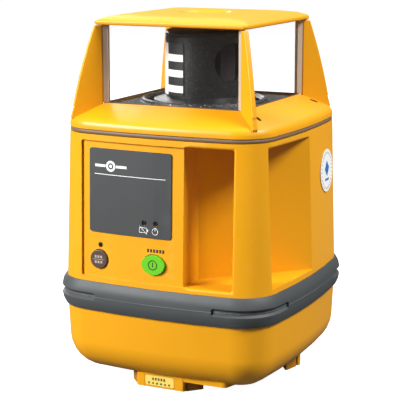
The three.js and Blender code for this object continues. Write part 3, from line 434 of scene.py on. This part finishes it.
scale_print = finish("scale print", (0.86, 0.83, 0.8), (0.86, 0.83, 0.8), 0.4, wear=0.0)
tree = scale_print.node_tree
surface = tree.nodes["Principled BSDF"]
coordinates = node(tree, "ShaderNodeTexCoord")
split = node(tree, "ShaderNodeSeparateXYZ")
tree.links.new(coordinates.outputs["Object"], split.inputs[0])
azimuth = maths(tree, "ARCTAN2", split.outputs["X"], maths(tree, "MULTIPLY", split.outputs["Y"], -1.0))
leading = maths(tree, "GREATER_THAN", azimuth, math.radians(BLOCK_EDGE_DEG))
height = maths(tree, "SUBTRACT", split.outputs["Z"], BLOCK_BOTTOM)
in_pitch = maths(tree, "MODULO", height, BLOCK_PITCH)
in_block = maths(tree, "LESS_THAN", in_pitch, BLOCK_HEIGHT)
in_top_block = maths(tree, "GREATER_THAN", split.outputs["Z"], TOP_BLOCK_FROM)
in_block = maths(tree, "MAXIMUM", in_block, in_top_block)
inked = maths(tree, "MULTIPLY", leading, in_block)
ink = node(tree, "ShaderNodeMix", data_type="RGBA")
ink.inputs[7].default_value = (0.022, 0.022, 0.024, 1)
tree.links.new(inked, ink.inputs["Factor"])
tree.links.new(surface.inputs["Base Color"].links[0].from_socket, ink.inputs[6])
tree.links.new(ink.outputs[2], surface.inputs["Base Color"])
print("scale blocks end at", BLOCK_EDGE_DEG, "degrees")

# %% [markdown]
# ## Finishing the moulded parts
# The frame's nodes are exact but hard-edged. For the parts that show, a copy of the node is taken to the
# bench: its loose triangles are merged, flat areas are dissolved to clean faces, and the sharp edges are
# bevelled like a real moulding. The copy then stands for the node, so its size can't drift from the
# model's. Building each part anew would be nicer practice, but it would have to repeat every size.

# %% Bench helpers
SHARP = math.radians(28)  # edges that turn by more than this count as edges of the moulding
CORNER = math.radians(34)  # edges that turn by more than this stay corners in the shading
FLAT = math.radians(0.6)  # neighbours that lean less than this belong to one flat face
WELD = 0.001 * MM


def only(piece):
    """Selects one object and makes it active."""
    bpy.ops.object.select_all(action="DESELECT")
    piece.select_set(True)
    bpy.context.view_layer.objects.active = piece


def give(piece, material):
    """One material for the whole piece."""
    piece.data.materials.clear()
    piece.data.materials.append(material)


def bevel(piece, width, segments=2, angle=SHARP):
    """Rounds the sharp edges by a width in metres."""
    modifier = piece.modifiers.new("bevel", "BEVEL")
    modifier.width = width
    modifier.segments = segments
    modifier.limit_method = "ANGLE"
    modifier.angle_limit = angle
    modifier.use_clamp_overlap = True
    modifier.miter_outer = "MITER_ARC"
    only(piece)
    bpy.ops.object.modifier_apply(modifier=modifier.name)


def round_edges(piece, width, segments, wanted):
    """Gives a wide rounding to each sharp edge for which wanted(middle in mm) is true; counts them."""
    only(piece)
    bpy.ops.object.mode_set(mode="EDIT")
    bpy.ops.mesh.select_mode(type="EDGE")
    bpy.ops.mesh.select_all(action="DESELECT")
    mesh = bmesh.from_edit_mesh(piece.data)
    chosen = 0
    for line in mesh.edges:
        if len(line.link_faces) != 2 or line.calc_face_angle(0) < SHARP:
            continue
        if wanted((line.verts[0].co + line.verts[1].co) / 2 / MM):
            line.select_set(True)
            chosen += 1
    bmesh.update_edit_mesh(piece.data)
    bpy.ops.mesh.bevel(
        offset=width, segments=segments, affect="EDGES", clamp_overlap=False, loop_slide=True
    )
    bpy.ops.mesh.select_all(action="SELECT")
    bpy.ops.mesh.remove_doubles(threshold=10 * WELD)
    bpy.ops.mesh.normals_make_consistent(inside=False)
    bpy.ops.object.mode_set(mode="OBJECT")
    return chosen


def smooth(piece):
    """Smooth shading that keeps true corners, with normals led by the large faces."""
    only(piece)
    bpy.ops.object.shade_smooth_by_angle(angle=CORNER)
    modifier = piece.modifiers.new("normals", "WEIGHTED_NORMAL")
    modifier.keep_sharp = True
    bpy.ops.object.modifier_apply(modifier=modifier.name)


def bench_copy(source, name):
    """A merged, cleaned copy of a CAD node, ready for bevels."""
    piece = bpy.data.objects.new(name, frame["nodes"][source].data.copy())
    bpy.context.scene.collection.objects.link(piece)
    only(piece)
    bpy.ops.object.mode_set(mode="EDIT")
    bpy.ops.mesh.select_all(action="SELECT")
    bpy.ops.mesh.remove_doubles(threshold=WELD)
    bpy.ops.mesh.dissolve_limited(angle_limit=FLAT)
    bpy.ops.object.mode_set(mode="OBJECT")
    return piece


SLOT_OF = {row["node"]: row["material_slot"] for row in frame["record"]["subparts"]}


def stands_for(piece, source, material):
    """The finished copy takes the node's place and body, with its own material; the node is hidden."""
    give(piece, material)
    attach(piece, frame["nodes"][source]["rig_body"])
    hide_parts(source)


def soften(source, name, material, width=0.5 * MM, segments=2):
    """The whole bench job for a part with one edge radius."""
    piece = bench_copy(source, name)
    bevel(piece, width, segments)
    smooth(piece)
    stands_for(piece, source, material)
    print(name, len(piece.data.polygons), "faces")
    return piece


print("slots in the record:", sorted(set(SLOT_OF.values())))

# %% [markdown]
# ### Main body
# The grip is what hands touch, so the mould rounds it generously: the column, the mouths of the opening
# and its floor and ceiling get a wide bevel first. Everything else keeps a small edge radius. A bevel
# weight could steer this too, but its clamp would shrink the wide radius at the shortest edge.

# %% Main body
main_low, main_high = (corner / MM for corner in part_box("main_body"))
POCKET_FLOOR = 75.6  # these are in millimetres, as in the model
POCKET_LEFT = 23
SIDE_FLOOR_FROM = 58
GRIP_WALL_OFFSET = 75.4  # the grip's slanted wall runs along y = x - this
SLANT_MARGIN = 1.2
LOWER_RIM = 6
UPPER_RIM = 2
GRIP_RADIUS = 1.8 * MM
CASING_RADIUS = 0.5 * MM
WIDE_TURN = math.radians(32)  # leaves the shallow folds beside the first bevel alone


def at_grip(middle):
    """Edges of the grip opening, apart from those on the casing's top and bottom rims."""
    clear_of_rims = main_low.z + LOWER_RIM < middle.z < main_high.z - UPPER_RIM
    on_left_wall = middle.x < POCKET_LEFT
    in_front_of_slant = middle.y < middle.x - GRIP_WALL_OFFSET - SLANT_MARGIN
    on_side_floor = middle.x > SIDE_FLOOR_FROM and middle.z < POCKET_FLOOR + 2
    return clear_of_rims and in_front_of_slant and not on_left_wall and not on_side_floor


casing_body = bench_copy("main_body", "casing_body")
print("grip edges:", round_edges(casing_body, GRIP_RADIUS, 4, at_grip))
bevel(casing_body, CASING_RADIUS, angle=WIDE_TURN)
smooth(casing_body)
stands_for(casing_body, "main_body", casing_yellow)
print("casing_body", len(casing_body.data.polygons), "faces")

# %% [markdown]
# ### Shoulder and posts
# The shoulder and its four thin posts are one moulding. The posts are only a few millimetres thick, so
# their edges can carry no more than a small radius, still wider than that of the shoulder's rims.

# %% Shoulder and posts
SILL_TOP = 190.0  # the posts stand clear of the shoulder above this height, in millimetres


def on_post(middle):
    """Edges of the posts."""
    return middle.z > SILL_TOP


shoulder = bench_copy("upper_housing", "casing_shoulder")
print("post edges:", round_edges(shoulder, 0.9 * MM, 3, on_post))
bevel(shoulder, 0.4 * MM, angle=WIDE_TURN)
smooth(shoulder)
stands_for(shoulder, "upper_housing", casing_yellow)
print("casing_shoulder", len(shoulder.data.polygons), "faces")

# %% [markdown]
# ### Roof, lower housing and feet
# These are the plain yellow mouldings: each has one edge radius all round, as its mould has. The pads of
# the feet are softer and get more.

# %% Roof, lower housing and feet
soften("roof_cover", "roof_shell", casing_yellow, CASING_RADIUS, 3)
soften("lower_housing", "casing_tub", casing_yellow, CASING_RADIUS)
soften("battery_door", "drawer_door", casing_yellow, 0.4 * MM)
soften("battery_latch", "latch_knob", tray_black, 0.4 * MM)
for place in ("front", "rear_right", "rear_left"):
    soften(f"foot_{place}", f"foot_block_{place}", casing_yellow, 0.6 * MM)
    soften(f"foot_pad_{place}", f"foot_rubber_{place}", foot_orange, 0.8 * MM)

# %% [markdown]
# ### Bumper and gasket
# The bumper is a thick rubber ring stretched over the joint of the housings, the gasket a thin flat one
# under the shoulder. Rubber from a mould has soft edges too, but the thin gasket allows little.

# %% Bumper and gasket
soften("bumper_band", "bumper_ring", bumper_grey, 0.5 * MM)
soften("housing_gasket", "gasket_ring", gasket_brown, 0.3 * MM)

# %% [markdown]
# ### Deck, rotor and glazing
# The rotor stands in a well of the deck, behind four panes whose edges are held by beige strips. Glass
# edges are ground, so even the panes get a very small bevel, which catches a thin line of light.

# %% Deck, rotor and glazing
soften("deck_plate", "deck", deck_black, 0.4 * MM)
soften("rotor_drum", "rotor_shell", rotor_black, 0.4 * MM)
soften("rotor_cap", "rotor_lid", rotor_black, 0.5 * MM)
soften("scale_strip", "printed_scale", scale_print, 0.08 * MM)
soften("exit_lens", "beam_window", lens_glass, 0.2 * MM)
for number in range(1, 5):
    soften(f"corner_seal_{number}", f"glazing_bead_{number}", seal_beige, 0.3 * MM)
for side in ("front", "right", "back", "left"):
    soften(f"window_{side}", f"pane_{side}", window_glass, 0.25 * MM)

# %% [markdown]
# ### Panel parts
# Film, keys, sticker, plate and indicator lamps. Keys are domed at their rims, so they get the widest
# bevel; film and stickers are sheets, whose edges only need to stop being perfectly sharp.

# %% Panel parts
soften("panel_label", "panel_film", label_grey, 0.12 * MM)
soften("auto_button", "round_key", key_brown, 0.7 * MM, 3)
soften("power_button", "oval_key", key_green, 0.9 * MM, 3)
soften("inspection_sticker", "round_sticker", film_white, 0.1 * MM)
soften("name_plate", "name_plate_blank", plate_gold, 0.06 * MM)
for lamp in ("auto_led", "low_battery_led", "power_led"):
    soften(lamp, f"{lamp}_lens", lamp_lens, 0.35 * MM)

# %% [markdown]
# ## Print and marks
# Icons and lines are drawn flat, as simple shapes in front of the panel, and then pressed on to the real
# surface with a projected shrinkwrap, so that they follow its slight crown. A pattern in the material
# would do too, but drawn shapes stay sharp at any distance. All marks are generic. Their places are in
# millimetres: x to the right and z up on the front.

# %% Drawing helpers
DRAW_Y = -120 * MM  # the drawing plane, well in front of the casing
UPRIGHT = (math.pi / 2, 0, 0)
BAR_STEP = 5  # a long bar is cut about this often, in millimetres, so that it can follow a crown


def bar(x, z, width, height, tilt=0.0):
    """A flat rectangle on the drawing plane, in millimetres."""
    bpy.ops.object.select_all(action="DESELECT")
    bpy.ops.mesh.primitive_plane_add(size=1.0, location=(x * MM, DRAW_Y, z * MM), rotation=UPRIGHT)
    piece = bpy.context.object
    piece.scale = (width * MM, height * MM, 1)
    piece.rotation_euler.y = math.radians(-tilt)
    bpy.ops.object.transform_apply(location=True, rotation=True, scale=True)
    bpy.ops.object.mode_set(mode="EDIT")
    bpy.ops.mesh.select_all(action="SELECT")
    bpy.ops.mesh.subdivide(number_cuts=max(1, round(max(width, height) / BAR_STEP)))
    bpy.ops.object.mode_set(mode="OBJECT")
    return piece


def disc(x, z, radius, corners=32):
    """A flat disc or polygon on the drawing plane, in millimetres."""
    bpy.ops.object.select_all(action="DESELECT")
    bpy.ops.mesh.primitive_circle_add(
        vertices=corners,
        radius=radius * MM,
        fill_type="TRIFAN",
        location=(x * MM, DRAW_Y, z * MM),
        rotation=UPRIGHT,
    )
    bpy.ops.object.transform_apply(location=True, rotation=True, scale=True)
    return bpy.context.object


def ring(x, z, outer, inner, corners=40):
    """A flat ring on the drawing plane: a filled circle, inset, with its middle taken out."""
    bpy.ops.object.select_all(action="DESELECT")
    bpy.ops.mesh.primitive_circle_add(
        vertices=corners,
        radius=outer * MM,
        fill_type="NGON",
        location=(x * MM, DRAW_Y, z * MM),
        rotation=UPRIGHT,
    )
    bpy.ops.object.transform_apply(location=True, rotation=True, scale=True)
    bpy.ops.object.mode_set(mode="EDIT")
    bpy.ops.mesh.select_all(action="SELECT")
    bpy.ops.mesh.inset(thickness=(outer - inner) * MM)
    bpy.ops.mesh.delete(type="FACE")
    bpy.ops.object.mode_set(mode="OBJECT")
    return bpy.context.object


def joined(name, parts):
    """Joins parts into one named piece."""
    only(parts[0])
    for part in parts[1:]:
        part.select_set(True)
    bpy.ops.object.join()
    piece = bpy.context.object
    piece.name = name
    piece.data.name = name
    return piece


INK_THICKNESS = 0.06 * MM


def printed(name, parts, material, target, body, turn=0, thickness=INK_THICKNESS):
    """Presses drawn parts on to a target, after a turn about the upright axis, as a thin layer of ink."""
    piece = joined(name, parts)
    bpy.ops.object.mode_set(mode="EDIT")
    bpy.ops.mesh.select_all(action="SELECT")
    bpy.ops.transform.rotate(value=-math.radians(turn), orient_axis="Z", center_override=(0, 0, 0))
    bpy.ops.object.mode_set(mode="OBJECT")
    press = piece.modifiers.new("press", "SHRINKWRAP")
    press.target = target
    press.wrap_method = "PROJECT"
    press.use_project_x = turn % 180 == 90
    press.use_project_y = turn % 180 == 0
    press.use_positive_direction = True
    press.use_negative_direction = True
    press.wrap_mode = "ABOVE_SURFACE"
    press.offset = thickness
    bpy.ops.object.modifier_apply(modifier=press.name)
    layer = piece.modifiers.new("layer", "SOLIDIFY")
    layer.thickness = thickness
    layer.offset = 0
    bpy.ops.object.modifier_apply(modifier=layer.name)
    give(piece, material)
    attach(piece, body)
    low = min(v.co.y for v in piece.data.vertices) / MM
    print(name, len(piece.data.polygons), "faces, front at y", round(low, 2))
    return piece


print("drawing helpers:", bar.__name__, disc.__name__, ring.__name__, printed.__name__)

# %% [markdown]
# ### Marks on the panel film
# A thin line divides the title area from the rest. A beam symbol, a ring with a bar to each side, stands
# where a title would be, and a crossed-out battery and a standby sign stand under the two lamps.

# %% Marks on the panel film
STROKE = 0.3
panel_film = bpy.data.objects["panel_film"]
printed("film_line", [bar(-18.2, 144.7, 53.1, 0.4)], ink_white, panel_film, "housing")
BEAM_X, BEAM_Z = -32.2, 150.4
beam_symbol = [
    ring(BEAM_X, BEAM_Z, 3.6, 2.1),
    disc(BEAM_X, BEAM_Z, 1.1),
    bar(BEAM_X - 8.1, BEAM_Z, 8.0, 1.7),
    bar(BEAM_X + 8.1, BEAM_Z, 8.0, 1.7),
]
printed("film_beam_symbol", beam_symbol, ink_white, panel_film, "housing")
BATTERY_X, BATTERY_Z = -7.6, 110.6
battery_symbol = [
    bar(BATTERY_X, BATTERY_Z + 1.6, 5.6, STROKE),
    bar(BATTERY_X, BATTERY_Z - 1.6, 5.6, STROKE),
    bar(BATTERY_X - 2.7, BATTERY_Z, STROKE, 3.5),
    bar(BATTERY_X + 2.7, BATTERY_Z, STROKE, 3.5),
    bar(BATTERY_X + 3.3, BATTERY_Z, 0.9, 1.4),
    bar(BATTERY_X, BATTERY_Z, 7.4, STROKE, tilt=-44),
]
printed("film_battery_symbol", battery_symbol, ink_white, panel_film, "housing")
STANDBY_X, STANDBY_Z = 1.1, 110.3
standby_symbol = [
    ring(STANDBY_X, STANDBY_Z, 2.2, 1.88),
    bar(STANDBY_X, STANDBY_Z + 1.5, 0.4, 2.4),
]
printed("film_standby_symbol", standby_symbol, ink_white, panel_film, "housing")

# %% [markdown]
# ### Marks on and above the keys
# Captions become rows of dashes, as long as words would be. The oval key has a ring with a stroke in it.
# The marks on a key ride on the key's own body, so they move in with it.

# %% Marks on and above the keys
dashes = [bar(-4.2 + 2.2 * step, 97.4, 1.4, 2.2) for step in range(6)]
printed("power_caption", dashes, ink_black, casing_body, "housing")
key_ink = finish("key ink", (0.4, 0.36, 0.32), (0.5, 0.45, 0.4), 0.5, wear=0.0)
ROUND_KEY_X, ROUND_KEY_Z = -41.2, 87.6
two_rows = [
    bar(ROUND_KEY_X + 2.1 * column, ROUND_KEY_Z + 1.8 * row, 1.4, 1.7)
    for column in (-1, 0, 1)
    for row in (-1, 1)
]
key_line = bar(ROUND_KEY_X, ROUND_KEY_Z, 8.4, STROKE)
printed("round_key_marks", [key_line, *two_rows], key_ink, bpy.data.objects["round_key"], "auto_key")
key_symbol = [ring(0.0, 88.3, 3.3, 2.75), bar(0.0, 88.5, 0.6, 3.0)]
printed("oval_key_symbol", key_symbol, ink_black, bpy.data.objects["oval_key"], "power_key")

# %% [markdown]
# ### Marks on the round sticker
# The sticker is on the right side. Its marks are drawn on the same plane as the others and then turned
# by a quarter about the upright axis, which brings them in front of that side.

# %% Marks on the round sticker
sticker = bpy.data.objects["round_sticker"]
STICKER_Y, STICKER_Z = 36.6, 138.0
TICKS = 28
TICK_CIRCLE = 12.4
ticks = []
for step in range(TICKS):
    spoke = 2 * math.pi * step / TICKS
    tick_y = STICKER_Y + TICK_CIRCLE * math.sin(spoke)
    tick_z = STICKER_Z + TICK_CIRCLE * math.cos(spoke)
    ticks.append(bar(tick_y, tick_z, 0.9, 1.6, tilt=-math.degrees(spoke)))
sticker_grey = finish("sticker grey", (0.3, 0.32, 0.34), (0.4, 0.4, 0.4), 0.45, wear=0.0)
printed("sticker_ticks", ticks, sticker_grey, sticker, "housing", turn=90)
emblem = [disc(STICKER_Y, STICKER_Z + 1.5, 5.4, corners=4), bar(STICKER_Y, STICKER_Z - 6.2, 9.0, 1.5)]
printed("sticker_emblem", emblem, ink_blue, sticker, "housing", turn=90)

# %% [markdown]
# ### Marks on the name plate
# Two rows of dashes in a thinner ink, because the plate is foil and its print hardly stands up.

# %% Marks on the name plate
plate_blank = bpy.data.objects["name_plate_blank"]
upper_row = [bar(-7.0 + 2.1 * step, 6.3, 1.3, 1.9) for step in range(5)]
lower_row = [bar(-10.0 + 3.0 * step, 3.3, 1.3, 1.4) for step in range(6)]
plate_ink = finish("plate ink", (0.1, 0.085, 0.02), (0.3, 0.25, 0.1), 0.5, wear=0.0)
plate_rows = upper_row + lower_row
printed("name_plate_marks", plate_rows, plate_ink, plate_blank, "housing", thickness=INK_THICKNESS / 2)

# %% [markdown]
# ### Marks at the battery latch
# An arc of dots over the knob shows how far it turns, with a triangle to each side. They are on the
# back, so they are drawn as on the front and turned by half a turn.

# %% Marks at the battery latch
door = bpy.data.objects["drawer_door"]
latch_low, latch_high = (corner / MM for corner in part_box("battery_latch"))
latch_z = (latch_low.z + latch_high.z) / 2
DOT_CIRCLE = 13.2
arrows = [disc(side * 14.5, latch_z, 2.0, corners=3) for side in (-1, 1)]
arc_dots = []
for step in range(-3, 4):
    lean = 0.4 * step
    arc_dots.append(disc(DOT_CIRCLE * math.sin(lean), latch_z + DOT_CIRCLE * math.cos(lean), 0.55, 12))
printed("latch_marks", arrows + arc_dots, ink_black, door, "battery_drawer", turn=180)

# %% [markdown]
# ## Small fittings
# Some lines of the real product are too fine for the working model: the mould line round the bumper, a
# rib on the drum beside the scale, the gap under the panes, the drain slots and the screws of the base.
# The gap and the slots are dark only in shade, so they get thin dark pieces of painted shade.

# %% [markdown]
# ### Bumper mould line
# Rubber squeezes a little into the joint of its mould and leaves a fine raised line. A copy of the
# bumper is bisected twice, which leaves a slice a quarter of a millimetre high, and the slice is made a
# trace wider, so that it stands out all round. It follows the grooves by itself, as a drawn ring wouldn't.

# %% Bumper mould line
bumper_low, bumper_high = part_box("bumper_band")
MOULD_LINE_Z = (bumper_low.z + bumper_high.z) / 2
MOULD_LINE_HALF = 0.14 * MM
MOULD_LINE_SWELL = 1.0012
seam = bench_copy("bumper_band", "bumper_mould_line")
for offset, clear_above in ((MOULD_LINE_HALF, True), (-MOULD_LINE_HALF, False)):
    only(seam)
    bpy.ops.object.mode_set(mode="EDIT")
    bpy.ops.mesh.select_all(action="SELECT")
    bpy.ops.mesh.bisect(
        plane_co=(0, 0, MOULD_LINE_Z + offset),
        plane_no=(0, 0, 1),
        use_fill=True,
        clear_outer=clear_above,
        clear_inner=not clear_above,
    )
    bpy.ops.mesh.select_all(action="SELECT")
    bpy.ops.mesh.normals_make_consistent(inside=False)
    bpy.ops.object.mode_set(mode="OBJECT")
bpy.ops.object.mode_set(mode="EDIT")
bpy.ops.mesh.select_all(action="SELECT")
bpy.ops.transform.resize(value=(MOULD_LINE_SWELL, MOULD_LINE_SWELL, 1), center_override=(0, 0, 0))
bpy.ops.object.mode_set(mode="OBJECT")
mould_line = finish("mould line", (0.13, 0.14, 0.145), (0.3, 0.3, 0.3), 0.5, wear=0.2, tone=1.4)
give(seam, mould_line)
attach(seam, "housing")
print("bumper_mould_line", len(seam.data.polygons), "faces")

# %% [markdown]
# ### Drum rib
# A narrow upright rib stands on the drum beside the scale strip and is as long as the strip. It is a cube
# stretched to a bar, half sunk in the drum, with its long edges bevelled.

# %% Drum rib
strip_low, strip_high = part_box("scale_strip")
RIB_AZIMUTH = math.radians(-6.2)
RIB_R = 26.45 * MM
rib_x = RIB_R * math.sin(RIB_AZIMUTH)
rib_y = -RIB_R * math.cos(RIB_AZIMUTH)
rib_z = (strip_low.z + strip_high.z) / 2
bpy.ops.object.select_all(action="DESELECT")
bpy.ops.mesh.primitive_cube_add(size=1.0, location=(rib_x, rib_y, rib_z), rotation=(0, 0, RIB_AZIMUTH))
rib = bpy.context.object
rib.name = "drum_rib"
rib.scale = (0.55 * MM, 0.6 * MM, strip_high.z - strip_low.z)
bpy.ops.object.transform_apply(location=True, rotation=True, scale=True)
bevel(rib, 0.12 * MM)
give(rib, rotor_black)
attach(rib, "rotor")
print("drum_rib from", round(strip_low.z, 4), "to", round(strip_high.z, 4))

# %% [markdown]
# ### Painted shade in the gap under the panes
# The gap at the foot of the glazing is dark only in shade, so a thin brown frame is laid in it as painted
# shade. A square plane is inset, its middle is deleted, and Solidify gives the frame that is left its
# thickness.

# %% Painted shade in the gap under the panes
pane_low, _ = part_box("window_front")
GAP_SHADE_HALF = -pane_low.y + 0.5 * MM
GAP_SHADE_WIDTH = 0.45 * MM
SILL_Z = 188.35 * MM
bpy.ops.object.select_all(action="DESELECT")
bpy.ops.mesh.primitive_plane_add(size=2 * GAP_SHADE_HALF, location=(0, 0, SILL_Z))
sill_gap_shade = bpy.context.object
sill_gap_shade.name = "sill_gap_shade"
bpy.ops.object.transform_apply(location=True, rotation=True, scale=True)
bpy.ops.object.mode_set(mode="EDIT")
bpy.ops.mesh.select_all(action="SELECT")
bpy.ops.mesh.inset(thickness=GAP_SHADE_WIDTH)
bpy.ops.mesh.delete(type="FACE")
bpy.ops.object.mode_set(mode="OBJECT")
lift = sill_gap_shade.modifiers.new("lift", "SOLIDIFY")
lift.thickness = 0.5 * MM
lift.offset = 1
bpy.ops.object.modifier_apply(modifier=lift.name)
# The brown of this frame is painted shade in the gap between deck and shoulder.
gap_shade_brown = finish("gap shade brown", (0.07, 0.035, 0.018), (0.12, 0.08, 0.05), 0.55, wear=0.2)
give(sill_gap_shade, gap_shade_brown)
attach(sill_gap_shade, "housing")
print("sill_gap_shade", len(sill_gap_shade.data.polygons), "faces")

# %% [markdown]
# ### Painted shade in the drain slots
# Rain runs off the deck through four short slots in the shoulder. On the real part they look black,
# because no light gets in. A very thin dark oval is laid over each slot as painted shade. A ray shot down
# beside the slot gives the height and the lean of the shoulder there, so the ovals follow its slope.

# %% Painted shade in the drain slots
DRAIN_X, DRAIN_Y = 61.0, 49.3  # where the shoulder has its four drain slots, in millimetres
DRAIN_TURN = math.radians(35)
UP = Vector((0, 0, 1))
mouths = []
for side, end in ((1, -1), (1, 1), (-1, 1), (-1, -1)):
    beside = Vector((side * DRAIN_X, end * (DRAIN_Y - 3.0), 220)) * MM
    _, place, normal, _ = shoulder.ray_cast(beside, -UP)
    bpy.ops.object.select_all(action="DESELECT")
    bpy.ops.mesh.primitive_cylinder_add(
        vertices=28,
        radius=1.0 * MM,
        depth=0.3 * MM,
        location=(side * DRAIN_X * MM, end * DRAIN_Y * MM, place.z - 0.05 * MM),
    )
    mouth = bpy.context.object
    mouth.scale = (3.1, 1.5, 1.0)
    slope = UP.rotation_difference(normal)
    mouth.rotation_euler = (slope @ Quaternion(UP, DRAIN_TURN * side * end)).to_euler()
    bpy.ops.object.transform_apply(location=True, rotation=True, scale=True)
    mouths.append(mouth)
drains = joined("drain_shade_ovals", mouths)
# The dark brown of the ovals is painted shade: the slots are dark only because no light gets in.
drain_shade_brown = finish(
    "drain shade brown", (0.03, 0.012, 0.004), (0.06, 0.03, 0.01), 0.8, wear=0.1, Specular_IOR_Level=0.1
)
give(drains, drain_shade_brown)
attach(drains, "housing")
print("drain_shade_ovals", len(drains.data.polygons), "faces, at z", round(place.z, 4))

# %% [markdown]
# ### Base screws
# Six screws hold the base plate. Each head is a short cylinder whose lower face is inset and pushed up,
# which leaves the socket for the key. They are joined to one piece, as screws of one kind may be.

# %% Base screws
SCREWS = 6
SCREW_CIRCLE = 28.5 * MM
heads = []
for step in range(SCREWS):
    around = 2 * math.pi * (step + 0.5) / SCREWS
    bpy.ops.object.select_all(action="DESELECT")
    bpy.ops.mesh.primitive_cylinder_add(
        vertices=24,
        radius=2.4 * MM,
        depth=0.4 * MM,
        location=(SCREW_CIRCLE * math.cos(around), SCREW_CIRCLE * math.sin(around), 0.45 * MM),
    )
    head = bpy.context.object
    bpy.ops.object.transform_apply(location=True, rotation=True, scale=True)
    bpy.ops.object.mode_set(mode="EDIT")
    bpy.ops.mesh.select_all(action="DESELECT")
    mesh = bmesh.from_edit_mesh(head.data)
    lowest = min(mesh.faces, key=lambda face: face.calc_center_median().z)
    lowest.select_set(True)
    bmesh.update_edit_mesh(head.data)
    bpy.ops.mesh.inset(thickness=1.1 * MM)
    bpy.ops.transform.translate(value=(0, 0, 0.3 * MM))
    bpy.ops.object.mode_set(mode="OBJECT")
    heads.append(head)
screws = joined("base_screws", heads)
bevel(screws, 0.1 * MM)
give(screws, aluminium)
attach(screws, "housing")
print("base_screws", len(screws.data.polygons), "faces")

# %% [markdown]
# ## Inner parts
# The inner parts keep the mesh of the working model: they show only through the windows, the tripod hole
# or the open drawer. They still get their own grained finishes, chosen by the slot in the record.

# %% Carried nodes
FINISH_OF_SLOT = {
    "metal": aluminium,
    "steel": aluminium,
    "brass": brass,
    "foot_rubber": foot_rubber,
    "black": tray_black,
    "cell": cell_sleeve,
    "board": board_green,
    "glass": lens_glass,
}
carried = 0
for source, cad_node in frame["nodes"].items():
    if not cad_node.hide_render:
        give(cad_node, FINISH_OF_SLOT[SLOT_OF[source]])
        carried += 1
print("carried nodes:", carried)

# %% [markdown]
# ## Stage
# A pale floor that runs on to a white distance. A real white floor would throw so much light up at the
# object that its shaded sides would lose their depth. So the floor is bright only for the camera, which
# the Light Path node tells apart, and dark for the light that bounces. It lies a hair under the feet, so
# that no two faces fight for one plane.

# %% Floor
FLOOR_GAP = 0.3 * MM
bpy.ops.object.select_all(action="DESELECT")
bpy.ops.mesh.primitive_plane_add(size=12.0, location=(0, 0, -FLOOR_GAP))
floor = bpy.context.object
floor.name = "floor"
pale = bpy.data.materials.new("pale floor")
pale.use_nodes = True
tree = pale.node_tree
sweep = tree.nodes["Principled BSDF"]
sweep.inputs["Roughness"].default_value = 0.9
sweep.inputs["Specular IOR Level"].default_value = 0.1
seen = node(tree, "ShaderNodeLightPath")
sheen = node(tree, "ShaderNodeMix", data_type="RGBA")
sheen.inputs[6].default_value = (0.1, 0.1, 0.1, 1)  # what the object gets back from the floor
sheen.inputs[7].default_value = (0.35, 0.35, 0.35, 1)  # what the camera sees of it
tree.links.new(seen.outputs["Is Camera Ray"], sheen.inputs["Factor"])
tree.links.new(sheen.outputs[2], sweep.inputs["Base Color"])
sweep.inputs["Emission Color"].default_value = (1, 1, 1, 1)
glow = maths(tree, "MULTIPLY", seen.outputs["Is Camera Ray"], 0.97)
tree.links.new(glow, sweep.inputs["Emission Strength"])
give(floor, pale)
print("floor at", round(floor.location.z, 5))

# %% [markdown]
# ### Lamps
# Four soft boxes: a key from the upper left front, a fill from the right that leaves the grip in shade,
# a wide top light that makes the roof pale, and a weak one behind for the far edges. The world adds only
# a trace, and Standard view keeps the yellow as pure as it is.

# %% Lamps
def softbox(name, at, aim, size, power):
    """A square area lamp pointed at a place."""
    bpy.ops.object.light_add(type="AREA", location=at)
    lamp = bpy.context.object
    lamp.name = name
    lamp.data.size = size
    lamp.data.energy = power
    lamp.rotation_euler = (Vector(aim) - Vector(at)).to_track_quat("-Z", "Y").to_euler()
    return lamp


MIDDLE = (0, 0, 0.12)
softbox("key", (-0.85, -1.1, 0.8), MIDDLE, 0.6, 43)
softbox("fill", (1.3, 0.0, 1.4), MIDDLE, 0.6, 43)
softbox("top", (0.1, 0.5, 1.4), MIDDLE, 2.0, 19)
softbox("rim", (-1.2, 1.0, 0.7), MIDDLE, 0.8, 16)

world = bpy.data.worlds.new("studio")
bpy.context.scene.world = world
world.use_nodes = True
backdrop = world.node_tree.nodes["Background"]
backdrop.inputs["Color"].default_value = (1, 1, 1, 1)
backdrop.inputs["Strength"].default_value = 0.1
bpy.context.scene.view_settings.view_transform = "Standard"
print("lamps:", len(bpy.data.lights))

# %% [markdown]
